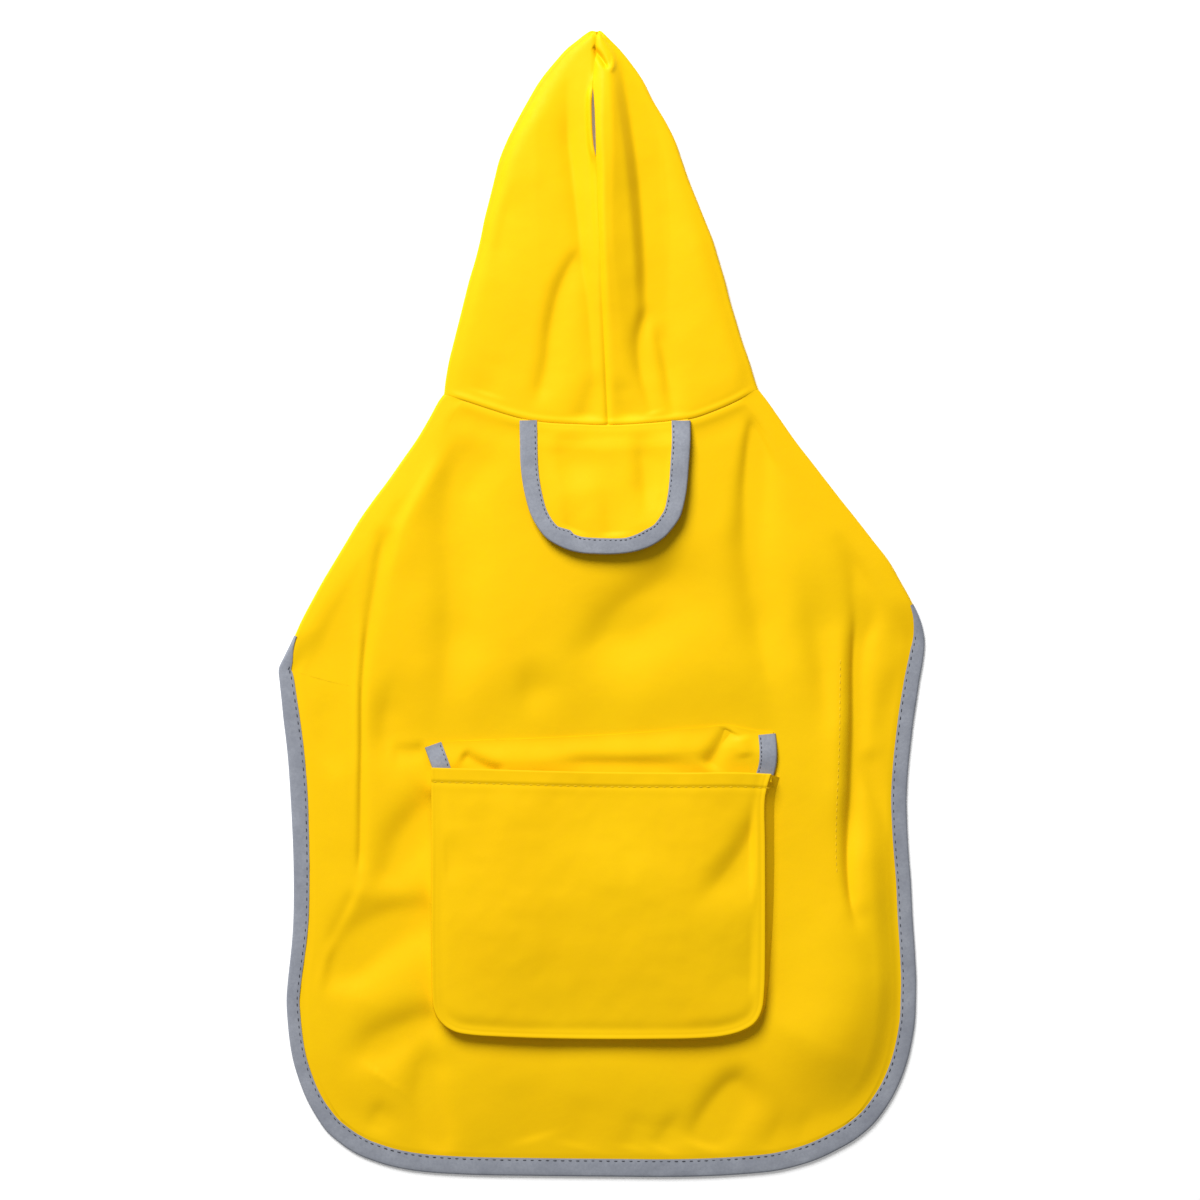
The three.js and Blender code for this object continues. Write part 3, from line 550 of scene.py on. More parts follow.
# the outline with its corners eased, for the broad form of the body
def eased(line, reach, sigma):
    kernel = np.exp(-(np.arange(-reach, reach + 1) / sigma) ** 2)
    padded = np.concatenate([np.repeat(line[:1], reach, 0), line, np.repeat(line[-1:], reach, 0)])
    return np.stack([np.convolve(padded[:, k], kernel / kernel.sum(), "valid") for k in range(2)], 1)


soft_line = eased(outline_line, 7, 2.6)
deep_line = eased(outline_line, 34, 15.0)       # further in, the form follows a rounder line
corner_l, corner_r = outline.share(chart([(327, 1131)])[0]), outline.share(chart([(866, 1130.5)])[0])


def chart_y(y):
    return MIDY - np.asarray(y) / S


def folded(p):
    """1 where the body's edge is turned under, 0 where it is a flat cut edge in the tape."""
    cy = chart_y(p[..., 1])
    left = 1 - smooth(LEFT_FOLD[0], LEFT_FOLD[1], cy)
    right = 1 - smooth(RIGHT_FOLD[0], RIGHT_FOLD[1], cy)
    return np.where(p[..., 0] < 0, left, right)


def tape_reach(p):
    cy = chart_y(p[..., 1])
    side = np.where(p[..., 0] < 0, look_up(REACH_L, cy), look_up(REACH_R, cy))
    return np.where(cy > 1150, 9.2, side)


# ------------------------------------------------------------------ folds of the body
BODY_FOLDS = [
    # long dart on the left
    ([(370, 518, 3.4, 5, -0.8), (376, 545, 3.6, 5.5, -1.7), (372, 580, 2.8, 5, -1.6), (366, 620, 1.9, 4.2, -1.4),
      (361.5, 660, 1.4, 3.2, -1.2), (360, 694, 1.2, 2.4, -1.0), (359.5, 737, 1.3, 2.6, -1.0), (358.5, 780, 1.6, 3.0, -1.3),
      (358, 835, 1.7, 3.2, -1.5), (356, 882, 1.8, 3.0, -1.1)], 1.6, .06, .08),
    ([(350, 560, 3.5, 3.0, 0.4), (357, 640, 2.6, 1.8, 0.5), (354, 694, 2.0, 1.5, 0.5), (354, 760, 2.4, 1.6, 0.5), (352, 840, 2.4, 1.6, 0.5)], 1.8, .3, .3),
    # bright ridge from the left shoulder, and the shaded bands beside it
    ([(440, 434, 3, 5, 0.6), (424, 470, 4, 6, 1.3), (406, 508, 4, 7, 1.4), (392, 552, 4, 7, 1.0), (382, 600, 4, 6, 0.6)], 1.9, .2, .3),
    ([(395, 487, 4, 4, -0.7), (382, 525, 4, 4, -0.7)], 2, .4, .4),
    ([(447, 432, 7, 9, -1.0), (444, 474, 8, 11, -1.7), (438, 531, 9, 12, -2.4), (441, 584, 9, 12, -2.7), (438, 651, 8, 11, -2.8), (435, 695, 6, 8, -1.9), (432, 740, 5, 7, -1.2)], 2, .2, .4),
    ([(448, 430, 8, 9, -0.8), (480, 450, 10, 12, -1.2), (512, 476, 10, 12, -0.8)], 2, .4, .4),
    # crescent beside the dart
    ([(396, 655, 5, 8, -0.9), (384, 684, 6, 9, -1.8), (377, 714, 6, 9, -2.2), (377, 744, 6, 9, -2.0), (385, 770, 6, 9, -1.3), (398, 796, 6, 8, -0.8)], 1.8, .45, .45),
    ([(390, 746, 2.4, 5, -0.8), (408, 747, 2.6, 5, -1.2), (423, 745, 2.6, 5, -1.2)], 2, .3, .05),
    ([(290, 722, 8, 11, -0.8), (320, 708, 8, 11, -0.9), (350, 700, 8, 11, -0.9)], 2, .3, .5),
    ([(300, 722, 5, 7, -0.5), (318, 750, 5, 7, -0.9), (337, 786, 5, 7, -0.6)], 1.8, .4, .4),
    # shaded band between the dart and the pocket
    ([(434, 786, 7, 10, -1.6), (417, 805, 8, 11, -2.7), (395, 829, 8, 12, -3.1), (383, 854, 8, 11, -2.7), (374, 878, 6, 9, -1.8), (367, 898, 5, 7, -1.0)], 1.9, .1, .25),
    # thin ridges running down to the left, and the deep arc right of them
    ([(363, 876, 2.6, 2.6, 0.6), (352, 900, 2.8, 3, 0.9), (338, 926, 2.8, 3, 1.0), (324, 954, 2.8, 3.2, 1.1), (316, 980, 2.8, 3.2, 1.0), (312, 1008, 2.8, 3, 0.6)], 1.8, .15, .25),
    ([(354, 884, 3, 3.4, -0.7), (337, 920, 3.4, 3.4, -1.2), (321, 952, 3, 3, -1.0)], 1.8, .25, .3),
    ([(436, 899, 7, 11, -1.8), (412, 902, 8, 12, -2.8), (390, 907, 9, 12.5, -3.5), (368, 920, 9.5, 12.5, -3.9), (347, 938, 9, 12, -3.9),
      (331, 959, 7.5, 11, -3.3), (321, 980, 6, 10, -2.5), (315, 1004, 5, 9, -1.6)], 1.9, .06, .35),
    ([(436, 1007, 6, 9, -1.8), (412, 1013, 7, 10, -2.6), (388, 1023, 8, 10, -3.0), (366, 1036, 8, 10, -3.0), (351, 1051, 7, 8, -2.2), (345, 1066, 6, 6, -1.3), (343, 1082, 5, 5, -0.6)], 1.9, .06, .5),
    ([(424, 1030, 4, 5, -1.2), (418, 1060, 7, 6, -2.8), (415, 1086, 8, 6, -3.4), (419, 1114, 7.5, 6, -3.2), (428, 1143, 5.6, 5, -2.2), (436, 1164, 4, 4, -1.2)], 1.8, .3, .1),
    ([(386, 1094, 4, 6, -0.9), (374, 1112, 4.4, 6, -1.6), (364, 1134, 4, 5, -1.2)], 1.9, .5, .3),
    ([(790, 560, 8, 11, -0.6), (797, 590, 7, 9, -1.0), (806, 630, 7, 10, -1.8), (814, 672, 6, 10, -2.0), (820, 712, 6, 9, -1.5), (822, 745, 6, 9, -0.8)], 2, .4, .4),
    # between the right dart and the tape
    ([(856, 750, 3, 6, -0.9), (866, 779, 3.2, 7, -1.9), (879, 810, 3.2, 7, -2.2), (890, 840, 3, 6, -1.4)], 1.7, .2, .12),
    ([(910, 645, 4, 7, -0.7), (897, 680, 6, 8, -1.7), (887, 706, 6.5, 8, -2.0), (883, 732, 5.5, 7, -1.6), (889, 760, 4, 6, -1.0), (899, 800, 3, 5, -.6)], 1.9, .3, .4),
    ([(846, 905, 5, 6, -1.0), (862, 950, 6, 7, -1.2), (874, 1000, 6, 7, -0.9)], 2, .2, .4),
    ([(782, 1096, 5, 7, -0.6), (774, 1120, 5, 7, -1.0), (762, 1150, 5, 7, -1.2)], 1.8, .6, .1),
    ([(812, 1090, 5, 6, -0.5), (803, 1116, 5, 6, -0.8), (792, 1146, 5, 6, -0.9)], 1.8, .6, .1),
    # strong diagonal below the pocket, and soft ones beside it
    ([(748, 1056, 5, 9, -1.8), (732, 1074, 6, 10, -3.2), (714, 1096, 6.5, 10, -3.7), (699, 1122, 6, 9, -3.2), (690, 1146, 5, 8, -2.2)], 1.9, .35, .12),
    ([(682, 1102, 4.6, 7, -1.2), (666, 1122, 5, 7, -1.8), (653, 1148, 5, 7, -1.6)], 1.9, .6, .1),
    ([(632, 1108, 6, 8, -0.6), (624, 1148, 6, 8, -0.8)], 2, .4, .1),
    ([(580, 1090, 9, 10, -0.5), (566, 1146, 9, 10, -0.7)], 2, .4, .1),
    ([(500, 1080, 9, 10, -0.5), (520, 1146, 9, 10, -0.7)], 2, .4, .1),
    # across the middle of the back
    ([(694, 528, 8, 16, -0.8), (666, 560, 10, 18, -2.4), (638, 587, 11, 19, -3.4), (610, 612, 11, 19, -3.6), (586, 634, 10, 17, -3.0), (562, 650, 8, 14, -2.0), (540, 658, 7, 12, -1.0)], 2, .3, .4),
    ([(520, 652, 6, 9, -1.2), (522, 690, 6.5, 10, -1.84), (527, 730, 6, 9, -0.9)], 2, .5, .5),
]
# crease under the right end of the neck seam, widening down the page
CORNER = ([(757, 392, 2.2, 3, -2.2), (753, 418, 2.8, 5, -3.6), (748, 445, 3.4, 6, -4.2), (744, 480, 4.4, 8, -4.0), (741, 515, 5.8, 9, -3.6),
           (739, 550, 7.4, 10, -3.2), (742, 590, 8, 10, -2.9), (748, 633, 8, 10, -2.6), (757, 670, 7, 9, -2.2), (765, 705, 6, 8, -1.6),
           (769, 745, 5, 7, -0.9)], 1.8, .03, .35)
DARTS_RIGHT = [
    # long dart on the right
    ([(838, 526, 4.5, 4, -0.9), (847, 556, 5.0, 5, -2.0), (854, 590, 5.0, 6, -3.2), (855, 618, 4.4, 6, -3.9), (850, 645, 4.0, 6, -4.0),
      (848, 668, 3.7, 6, -4.0), (847.8, 712, 3.7, 6.5, -3.8), (846, 752, 3.6, 6.5, -3.6), (844.4, 800, 3.2, 5.5, -3.3), (843.4, 832, 2.8, 5, -3.0),
      (843.6, 868, 2.5, 4, -2.6), (848, 905, 2.2, 4, -2.0), (858, 942, 3.2, 5, -1.2)], 1.5, .04, .12),
    ([(836, 596, 9, 3.0, 0.7), (836, 630, 9, 2.8, 1.5), (835, 668, 9, 2.6, 2.0), (834, 720, 9, 2.6, 2.0), (832, 800, 9, 2.4, 1.8), (832, 860, 8, 2.2, 1.0)], 1.8, .3, .3),
    # the lower right swells up, and turns down towards the tape
    ([(872, 800, 14, 9, 0.4), (868, 860, 20, 14, 2.4), (864, 930, 26, 19, 4.4), (852, 1000, 30, 22, 5.4), (830, 1056, 30, 22, 5.0), (800, 1100, 26, 20, 3.0)], 2, .2, .2),
]


def rise_folded(d):
    d = np.maximum(0, d - 1.9)
    return 0.30 * (1 - np.exp(-(d / 4.5) ** 1.4)) + 0.70 * (1 - np.exp(-(d / 46) ** 1.5))


def rise_flat(d, wide):
    return 1 - np.exp(-(np.maximum(0, d - 6.5) / wide) ** 1.2)


def body_level(P):
    """Broad form of the back panel, without its folds."""
    x, y = P[:, 0], P[:, 1]
    d = distance(soft_line, P)
    d = mix(d, distance(deep_line, P) + 1.5, smooth(6, 17, d))
    f = mix(folded(P), 1 - smooth(35, -55, y), smooth(5, 16, d))
    inner = mix(5.8, BACK_Z, smooth(-105, 45, y))
    wide = 42 - 14 * smooth(-60, 90, x) * (1 - smooth(-200, -285, y))
    z = mix(FLAT_Z + (inner - FLAT_Z) * rise_flat(d, wide), FOLD_Z + (inner - FOLD_Z) * rise_folded(d), f)
    out = np.hypot(np.maximum(0, np.abs(x) - 84), np.maximum(0, np.abs(y + 150) - 74))
    return mix(3.6, z, smooth(0, 46, out))


def back_z(P):
    """Middle height of the back panel at points (n, 2)."""
    x, y = P[:, 0], P[:, 1]
    d = distance(soft_line, P)
    z = body_level(P)
    near_neck = distance(neck_line, P)
    mask = smooth(7.5, 21, d) * smooth(0.5, 6, near_neck)
    darts = folds_field(P, BODY_FOLDS[:2]) + 1.35 * folds_field(P, DARTS_RIGHT[:2], wide=(1.15, 1.2))
    f1 = folds_field(P, DARTS_RIGHT[2:], raw=True)
    strong = [f for f in BODY_FOLDS[2:] if min(r[4] for r in f[0]) < -1.85]
    slight = [f for f in BODY_FOLDS[2:] if min(r[4] for r in f[0]) >= -1.85]
    f1 += 1.3 * folds_field(P, strong, wide=(1.3, 1.5)) + 0.85 * folds_field(P, slight, wide=(1.1, 1.4))
    wave_ = 0.42 * value_noise(x, y, 38, 3) + 0.13 * value_noise(x, y, 17, 5) + 0.03 * value_noise(x, y, 8, 8)
    z = z + (f1 + wave_) * mask + darts * np.maximum(mask, smooth(9.9, 19, d) * smooth(0.5, 6, near_neck))
    # the crease that starts in the neck's right corner runs right up to it
    corner = smooth(9.9, 17, d) * smooth(0.5, 4, near_neck)
    z += 1.3 * folds_field(P, [CORNER], wide=(1.15, 1.3)) * np.maximum(mask, corner)
    # soft fullness beside the neck seam
    z += (0.35 * np.exp(-((near_neck - 2.6) / 2.6) ** 2) - 0.3 * np.exp(-((near_neck - 10) / 5.5) ** 2)) * smooth(4, 16, d)
    # stays over what lies under it
    least = mix(0.75, 3.1, smooth(-34, -2, y - 3 - 7 * x / 142))
    return least + 0.5 * np.log1p(np.exp(np.clip((z - least) / 0.5, -30, 30)))


def neck_z(p):
    """Height of the neck seam at points (n, 2) of it."""
    return body_level(p)


# The border strip: turned under at a fold, straight in a tape.
def border_sections(fold_share):
    """(n, K, 2) of distance in from the edge and height, outermost last."""
    c = TURN + T / 2
    ang = np.radians([0, 22, 45, 67, 90, 112, 135, 157, 180])
    a = [(d, FOLD_Z) for d in (MARGIN, 6.6, 3.9)] + [(c - TURN * math.sin(t), T / 2 + TURN + TURN * math.cos(t)) for t in ang] \
        + [(c + 2.0, T / 2 + .02), (c + 4.0, T / 2 + .02), (c + 6.0, T / 2 + .02)]
    n = len(a)
    b = [(max(0.95, MARGIN - (MARGIN - 0.95) * k / 7), FLAT_Z) for k in range(n)]
    return mix(np.array(b)[None], np.array(a)[None], fold_share[:, None, None])


NV, NU, KB = 208, 216, 15
v_steps = steps(0.45, 1.09, 2.05, 0, NV)
u_steps = weighted(NU, [(0.105, 0.035, 0.9), (0.895, 0.035, 1.3)])
t_left = v_steps * corner_l
t_right = 1 - v_steps * (1 - corner_r)
t_hem = mix(corner_l, corner_r, u_steps)


def border_at(t, side=0):
    """Border points for the stations t; side -1 or 1 eases the way in along the neck seam near its ends."""
    p = outline.at(t)
    way = outline.inward(t, 1, 1.5)
    if side:
        ends = neck.along(0.0 if side < 0 else 1.0, 4) * (1 if side < 0 else -1)
        far = (t - 0) * outline.length if side < 0 else (1 - t) * outline.length
        k = smooth(0, 26, far)[:, None]
        way = mix(ends[None], way, k)
        way /= np.linalg.norm(way, axis=1, keepdims=True)
    sec = border_sections(folded(p))
    xy = p[:, None] + way[:, None] * sec[..., :1]
    if side:
        # the first row follows the seam itself
        d = sec[0, :, 0]
        q = neck.at(d / neck.length if side < 0 else 1 - d / neck.length)
        k = 1 - smooth(0, 5, far)[:, None, None]
        row = (q - xy[0])[None]
        xy = xy + row * k
    # its innermost rows take the height of the panel
    z = sec[..., 1].copy()
    z[:, :3] = body_level(xy[:, :3].reshape(-1, 2)).reshape(-1, 3)
    return np.concatenate([xy, z[..., None]], 2)


def back_panel():
    lefts, rights, hems = border_at(t_left, -1), border_at(t_right, 1), border_at(t_hem)
    a = MARGIN / neck.length
    top = neck.at(mix(a, 1 - a, u_steps))
    inside = coons(top, hems[:, 0, :2], lefts[:, 0, :2], rights[:, 0, :2], u_steps, v_steps)
    z = back_z(inside.reshape(-1, 2)).reshape(inside.shape[:2])
    z[0] = neck_z(inside[0]) - 0.45
    # ease from the seam's height into the panel
    P = np.concatenate([inside, z[..., None]], 2)
    P[-1] = hems[:, 0]
    P[:, 0] = lefts[:, 0]
    P[:, -1] = rights[:, 0]
    # the borders take part of the height beside them, so that folds run out softly under the tape
    rows = np.concatenate([lefts[:, :0:-1], P, rights[:, 1:]], 1)
    # seam allowance turned down at the neck
    seam = rows[0]
    g = np.gradient(seam[:, :2], axis=0)
    g /= np.maximum(np.linalg.norm(g, axis=1, keepdims=True), 1e-6)
    down = np.stack([g[:, 1], -g[:, 0]], 1)
    flange = []
    for off, drop in ((0.45, 0.10), (0.12, 0.45), (0.10, 1.2), (0.10, 2.2)):
        q = seam.copy()
        free = smooth(7, 16, np.minimum(seam[:, 0] - seam[0, 0] + 4, seam[-1, 0] - seam[:, 0] + 4))
        q[:, 2] = np.maximum(seam[:, 2] - drop * free - 0.0, 0.5)
        q[:, :2] = seam[:, :2] + down * (off - 0.95)
        flange.append(q)
    K = rows.shape[1]
    body = rows.copy()
    body[0, :, :2] += down * 0.30
    sheet = Sheet()
    whole = np.concatenate([np.array(flange[::-1]), body], 0)
    # keep row count even
    sheet.grid(whole)
    sheet.grid(np.transpose(hems, (1, 0, 2)))
    return sheet.build("back_cloth", T, CLOTH)


# ------------------------------------------------------------------ folded tape
def tape_profile(reach, half, reach_low, half_low=None, crown=0.12):
    """(n, M, 2): middle surface of a folded tape, from the inner edge of its top leg round to that of its low leg."""
    n = len(reach)
    top = np.linspace(1, 0, 7)[:-1]
    ang = np.radians([90, 60, 30, 0, -30, -60, -90])
    low = np.linspace(0, 1, 5)[1:]
    r = np.minimum(half, 1.1)[:, None]
    d1 = mix(r, reach[:, None], top[None])
    z1 = half[:, None] + crown * np.sin(np.pi * np.clip(top[None], 0, 1)) - 0.10 * (top[None] > 0.99)
    d2 = r - r * np.cos(ang)[None]
    z2 = half[:, None] * np.sin(ang)[None]
    d3 = mix(r, reach_low[:, None], low[None])
    z3 = -half[:, None] * np.ones_like(low)[None]
    return np.stack([np.concatenate([d1, d2, d3], 1), np.concatenate([z1, z2, z3], 1)], 2)


def tape_sheet(name, p, way, z, reach, half, reach_low=None, ruck=0.12, seed=1, s=None, material=None, T_=LEG):
    """Folded tape: stations p (n, 2) on its outer edge, the way in, middle height and reach. Rows run along the tape."""
    reach_low = reach * 0.96 if reach_low is None else reach_low
    sec = tape_profile(reach, half, reach_low)
    n, M = sec.shape[:2]
    if n % 2 == 0:
        raise ValueError("odd number of stations")
    xy = p[:, None] + way[:, None] * sec[..., :1]
    zz = z[:, None] + sec[..., 1]
    # small rucks where the tape is eased round a curve
    wob = ruck * value_noise(s[:, None] * 1.0, sec[..., 0] * 0.7 + 40 * seed, 4.6, seed) * (sec[..., 1] > 0)
    zz = zz + wob * smooth(0.2, 2.5, sec[..., 0])
    P = np.concatenate([xy, zz[..., None]], 2)
    sheet = Sheet()
    sheet.grid(np.transpose(P, (1, 0, 2)))
    return sheet.build(name, T_, material or TAPE)


def along_length(p):
    return np.concatenate([[0], np.cumsum(np.hypot(*np.diff(p, axis=0).T))])


def edge_tape():
    lo = outline.share(chart([(294.6, 636)])[0])
    hi = outline.share(chart([(913.4, 604)])[0])
    n = 461
    t = mix(lo, hi, np.linspace(0, 1, n))
    p, way = outline.at(t), outline.inward(t, 1, 2.0)
    reach = tape_reach(p)
    f = folded(p)
    z = mix(FLAT_Z, T / 2 + TURN, f)
    half = mix(HALF, TURN + 0.55, f)
    s = along_length(p)
    dip = 0.0
    tape = tape_sheet("edge_tape", p - way * 0.0, way, z, reach, half, reach_low=np.maximum(reach, 6.0), seed=2, s=s, ruck=0.16)
    # stitches just inside its inner edge
    pitch = 4.06
    total = s[-1]
    marks = np.arange(9, total - 9, pitch)
    at = np.interp(marks, s, t)
    q, w, g = outline.at(at), outline.inward(at, 1, 2.0), outline.along(at, 2.0)
    r = tape_reach(q)
    keep = r > 5
    q, w, g, r = q[keep], w[keep], g[keep], r[keep]
    zz = mix(FLAT_Z + HALF, T / 2 + 2 * TURN + 0.75, folded(q)) + LEG / 2 + 0.10
    pts = np.column_stack([q + w * (r - 1.15)[:, None], zz])
    st = capsules("edge_stitches", pts, np.column_stack([g, np.zeros(len(g))]), 2.1, 0.26, DARK)
    return tape, st


# ------------------------------------------------------------------ hood
HOOD_LEFT = [(444, 394), (445.5, 380.5), (449, 360.5), (454, 340.5), (459, 320.5), (464, 300.5), (469, 280.5), (475, 260.5), (480, 240.5),
             (484, 220.5), (489, 200.5), (494, 180.5), (499, 160.5), (507, 140.5), (517, 120.5), (528, 100.5), (540, 80.5), (556, 60.5),
             (567, 48.5), (577, 40.5), (586, 33.5), (591.5, 30.6), (596.4, 31.6)]
HOOD_RIGHT = [(758, 389), (755, 380.5), (749, 360.5), (742, 340.5), (736, 320.5), (730, 300.5), (725, 280.5), (719, 260.5), (713, 240.5),
              (705, 220.5), (697, 200.5), (689, 180.5), (682, 160.5), (675, 140.5), (665, 120.5), (653, 100.5), (643, 80.5), (629, 60.5),
              (619, 48.5), (611, 40.5), (604, 33.5), (600, 30.4), (597.4, 31.6)]
HOOD_SEAM = [(608, 425.5), (605.5, 368), (603, 315), (600, 248), (598, 207), (597, 178), (596, 160), (594.4, 140), (593.2, 110), (593, 86),
             (594.5, 66), (596, 48), (597, 31.6)]
# Sections of the hood's upper layer down the page: (offset from the seam in chart units, height in mm), from the left
# plateau over the long valley and the rolled ridge to the steep wall right of it and the right plateau.
SECTIONS = [
    (36, [(-60, 5.2), (-30, 5.2), (-12, 5.2), (-3, 5.3), (4, 5.5), (8, 5.6), (12, 5.3), (18, 5), (30, 4.9), (80, 4.9)]),
    (52, [(-60, 5.8), (-30, 5.8), (-14, 5.3), (-3, 5.8), (4, 7), (11, 7.4), (16, 6.8), (22, 5.4), (34, 4.8), (80, 5)]),
    (75, [(-80, 6.8), (-52, 6.8), (-27, 5.4), (-4, 6.4), (10, 10), (17, 10.2), (21, 9), (29, 5.4), (46, 4.2), (92, 5.4)]),
    (95, [(-90, 7.6), (-60, 7.6), (-26, 5.6), (-5, 7), (10, 11.6), (18, 11.6), (23, 10.2), (32, 5.2), (54, 3.8), (108, 5.8)]),
    (117, [(-90, 8.2), (-60, 8.2), (-26, 5.7), (-6, 7.5), (8, 12.8), (19, 12.6), (26, 10.4), (35.5, 4.9), (60, 3.5), (110, 6.2)]),
    (141, [(-95, 8.6), (-60, 8.6), (-26, 5.9), (-6, 8), (7, 13.8), (18, 13.5), (28, 10.9), (37.5, 4.7), (64, 3.3), (112, 6.6)]),
    (166, [(-100, 8.9), (-62, 8.9), (-25, 6.2), (-6, 8.4), (7, 14.3), (16, 13.9), (29, 11), (39, 4.6), (66, 3.2), (112, 6.9)]),
    (190, [(-105, 9), (-62, 9), (-23, 6.6), (-6, 8.7), (6, 14.3), (15, 13.9), (31, 10.6), (41, 4.4), (67, 3.2), (114, 6.9)]),
    (214, [(-110, 9), (-62, 9), (-21, 7.1), (-6, 8.9), (5, 13.9), (13, 13.6), (32, 10.3), (42, 4.3), (68, 3.2), (116, 6.9)]),
    (240, [(-112, 8.8), (-62, 8.9), (-19, 7.5), (-5, 9), (5, 13.1), (13, 12.9), (33, 9.8), (42.5, 4.2), (68, 3.2), (118, 6.7)]),
    (263, [(-115, 8.6), (-62, 8.8), (-18.5, 7.8), (-5, 9), (5, 12.2), (14, 11.8), (33.5, 9.3), (42.5, 4.3), (68, 3.4), (120, 6.6)]),
    (301, [(-118, 8.2), (-62, 8.5), (-14.5, 7.9), (-5, 8.7), (6, 10.4), (17, 9.9), (34, 8), (42, 4.9), (64, 4), (122, 6.3)]),
    (340, [(-120, 7.8), (-62, 8.2), (-13, 7.8), (-5, 8.2), (8, 8.8), (18, 8.3), (32, 6.9), (42, 5.7), (62, 5.2), (124, 6.3)]),
    (385, [(-125, 7.4), (-62, 7.7), (-13, 7.5), (-5, 7.6), (8, 7.9), (18, 7.7), (32, 7.2), (44, 6.6), (62, 6.4), (126, 6.9)]),
    (430, [(-125, 7.3), (-62, 7.3), (-13, 7.3), (-5, 7.3), (8, 7.3), (18, 7.3), (32, 7.2), (44, 7.1), (62, 7.0), (126, 7.2)]),
]


def hood_level(x, y, seam_x):
    """Height of the hood's upper layer away from its folds; x, y and seam_x in chart units."""
    ys = np.arange(24.0, 440.0, 2.0)
    xs = np.arange(-140.0, 141.0, 1.0)
    at = [r[0] for r in SECTIONS]
    offs = np.array([[k[0] for k in r[1]] for r in SECTIONS])
    high = np.array([[k[1] for k in r[1]] for r in SECTIONS])
    grid = np.array([np.interp(xs, [np.interp(v, at, offs[:, k]) for k in range(offs.shape[1])],
                               [np.interp(v, at, high[:, k]) for k in range(offs.shape[1])]) for v in ys])
    for axis, sigma in ((1, 1.6), (0, 5.0)):
        k = np.exp(-0.5 * (np.arange(-14, 15) / sigma) ** 2)
        k /= k.sum()
        pad = [(14, 14) if a == axis else (0, 0) for a in (0, 1)]
        grid = np.apply_along_axis(lambda row: np.convolve(row, k, mode="valid"), axis, np.pad(grid, pad, mode="edge"))
    fx = np.clip(x - seam_x - xs[0], 0, len(xs) - 1.001)
    fy = np.clip((y - ys[0]) / 2.0, 0, len(ys) - 1.001)
    i, j = fx.astype(int), fy.astype(int)
    a, b = fx - i, fy - j
    return (grid[j, i] * (1 - a) + grid[j, i + 1] * a) * (1 - b) + (grid[j + 1, i] * (1 - a) + grid[j + 1, i + 1] * a) * b


OPEN = [(94, 0.2), (106, 0.2), (122, 6), (145, 17), (170, 23), (200, 25), (230, 23), (255, 17), (275, 9), (290, 4.5), (305, 1.2)]
SLIT = [(20, 0.20), (70, 0.22), (84, 0.35), (94, 1.5), (108, 2.3), (130, 2.5), (146, 2.0), (158, 0.7), (166, 0.30), (200, 0.22), (430, 0.20)]
# as BODY_FOLDS, but each path is the fold's own top or bottom line
HOOD_FOLDS = [
    # creases low on the right
    ([(649, 300, 3.0, 4.0, -0.6), (642, 320, 3.4, 5, -1.5), (638, 342, 3.8, 5.4, -2.0), (640, 368, 3.6, 5.4, -2.1), (646, 392, 3.4, 5, -1.4), (653, 416, 3.0, 5, -0.5)], 1.7, .2, .05),
    ([(654, 318, 2.8, 5.5, -0.7), (661, 344, 3.2, 6, -1.6), (667, 374, 3.2, 6.5, -1.9), (671, 402, 3.2, 6, -1.1), (675, 418, 3, 5, -0.4)], 1.7, .25, .05),
    ([(684, 200, 10, 9, 0.4), (704, 280, 11, 10, 0.5), (722, 350, 11, 10, 0.4)], 2, .35, .3),
    # left of the seam: the fine line of the long valley
    ([(566, 84, 4, 4.4, -0.5), (567, 117, 4.4, 4.4, -1.0), (568, 141, 4.4, 4.4, -1.2), (571, 166, 4.2, 4.2, -1.2), (577, 214, 4.0, 4, -1.1), (582, 263, 3.8, 4, -1.0), (588, 301, 3.8, 4, -.9), (591, 340, 4.0, 4, -.8), (596, 395, 4.4, 5, -.8)], 1.5, .2, .15),
    ([(514, 180, 9, 9, -0.6), (498, 230, 9, 9, -0.8), (488, 280, 9, 9, -0.6)], 2, .35, .35),
    ([(583, 244, 3.4, 5, -0.5), (572, 262, 3.6, 7, -1.4), (560, 288, 3.8, 9, -2.0), (551, 326, 4.0, 10, -2.4), (547, 362, 4.4, 10, -2.2), (540, 392, 4.4, 9, -1.6), (533, 412, 4, 8, -0.9)], 1.7, .12, .15),
    ([(500, 350, 8, 8, -0.3), (486, 396, 8, 8, -0.5)], 2, .4, .1),
    ([(598, 366, 5.0, 5.0, -0.4), (592, 396, 6, 7, -1.1), (584, 424, 7, 8, -1.5)], 2, .4, .0),
    ([(618, 370, 5, 5.0, -0.4), (624, 398, 6, 7, -1.1), (632, 424, 7, 8, -1.5)], 2, .4, .0),
    # raised rim round the little pit at the tip, and the pit
    ([(599, 40, 1.0, 1.2, 0.6), (606, 47, 1.0, 1.2, 1.1), (612.5, 56, 1.0, 1.3, 1.4), (613, 65, 1.0, 1.3, 1.3), (608, 73, 1.0, 1.3, 0.8)], 2, .12, .15),
    ([(593, 46, 1.0, 0.9, -1.6), (600, 56, 1.8, 1.6, -3.4), (607, 67, 1.3, 1.2, -2.4)], 2.4, .05, .05),
]


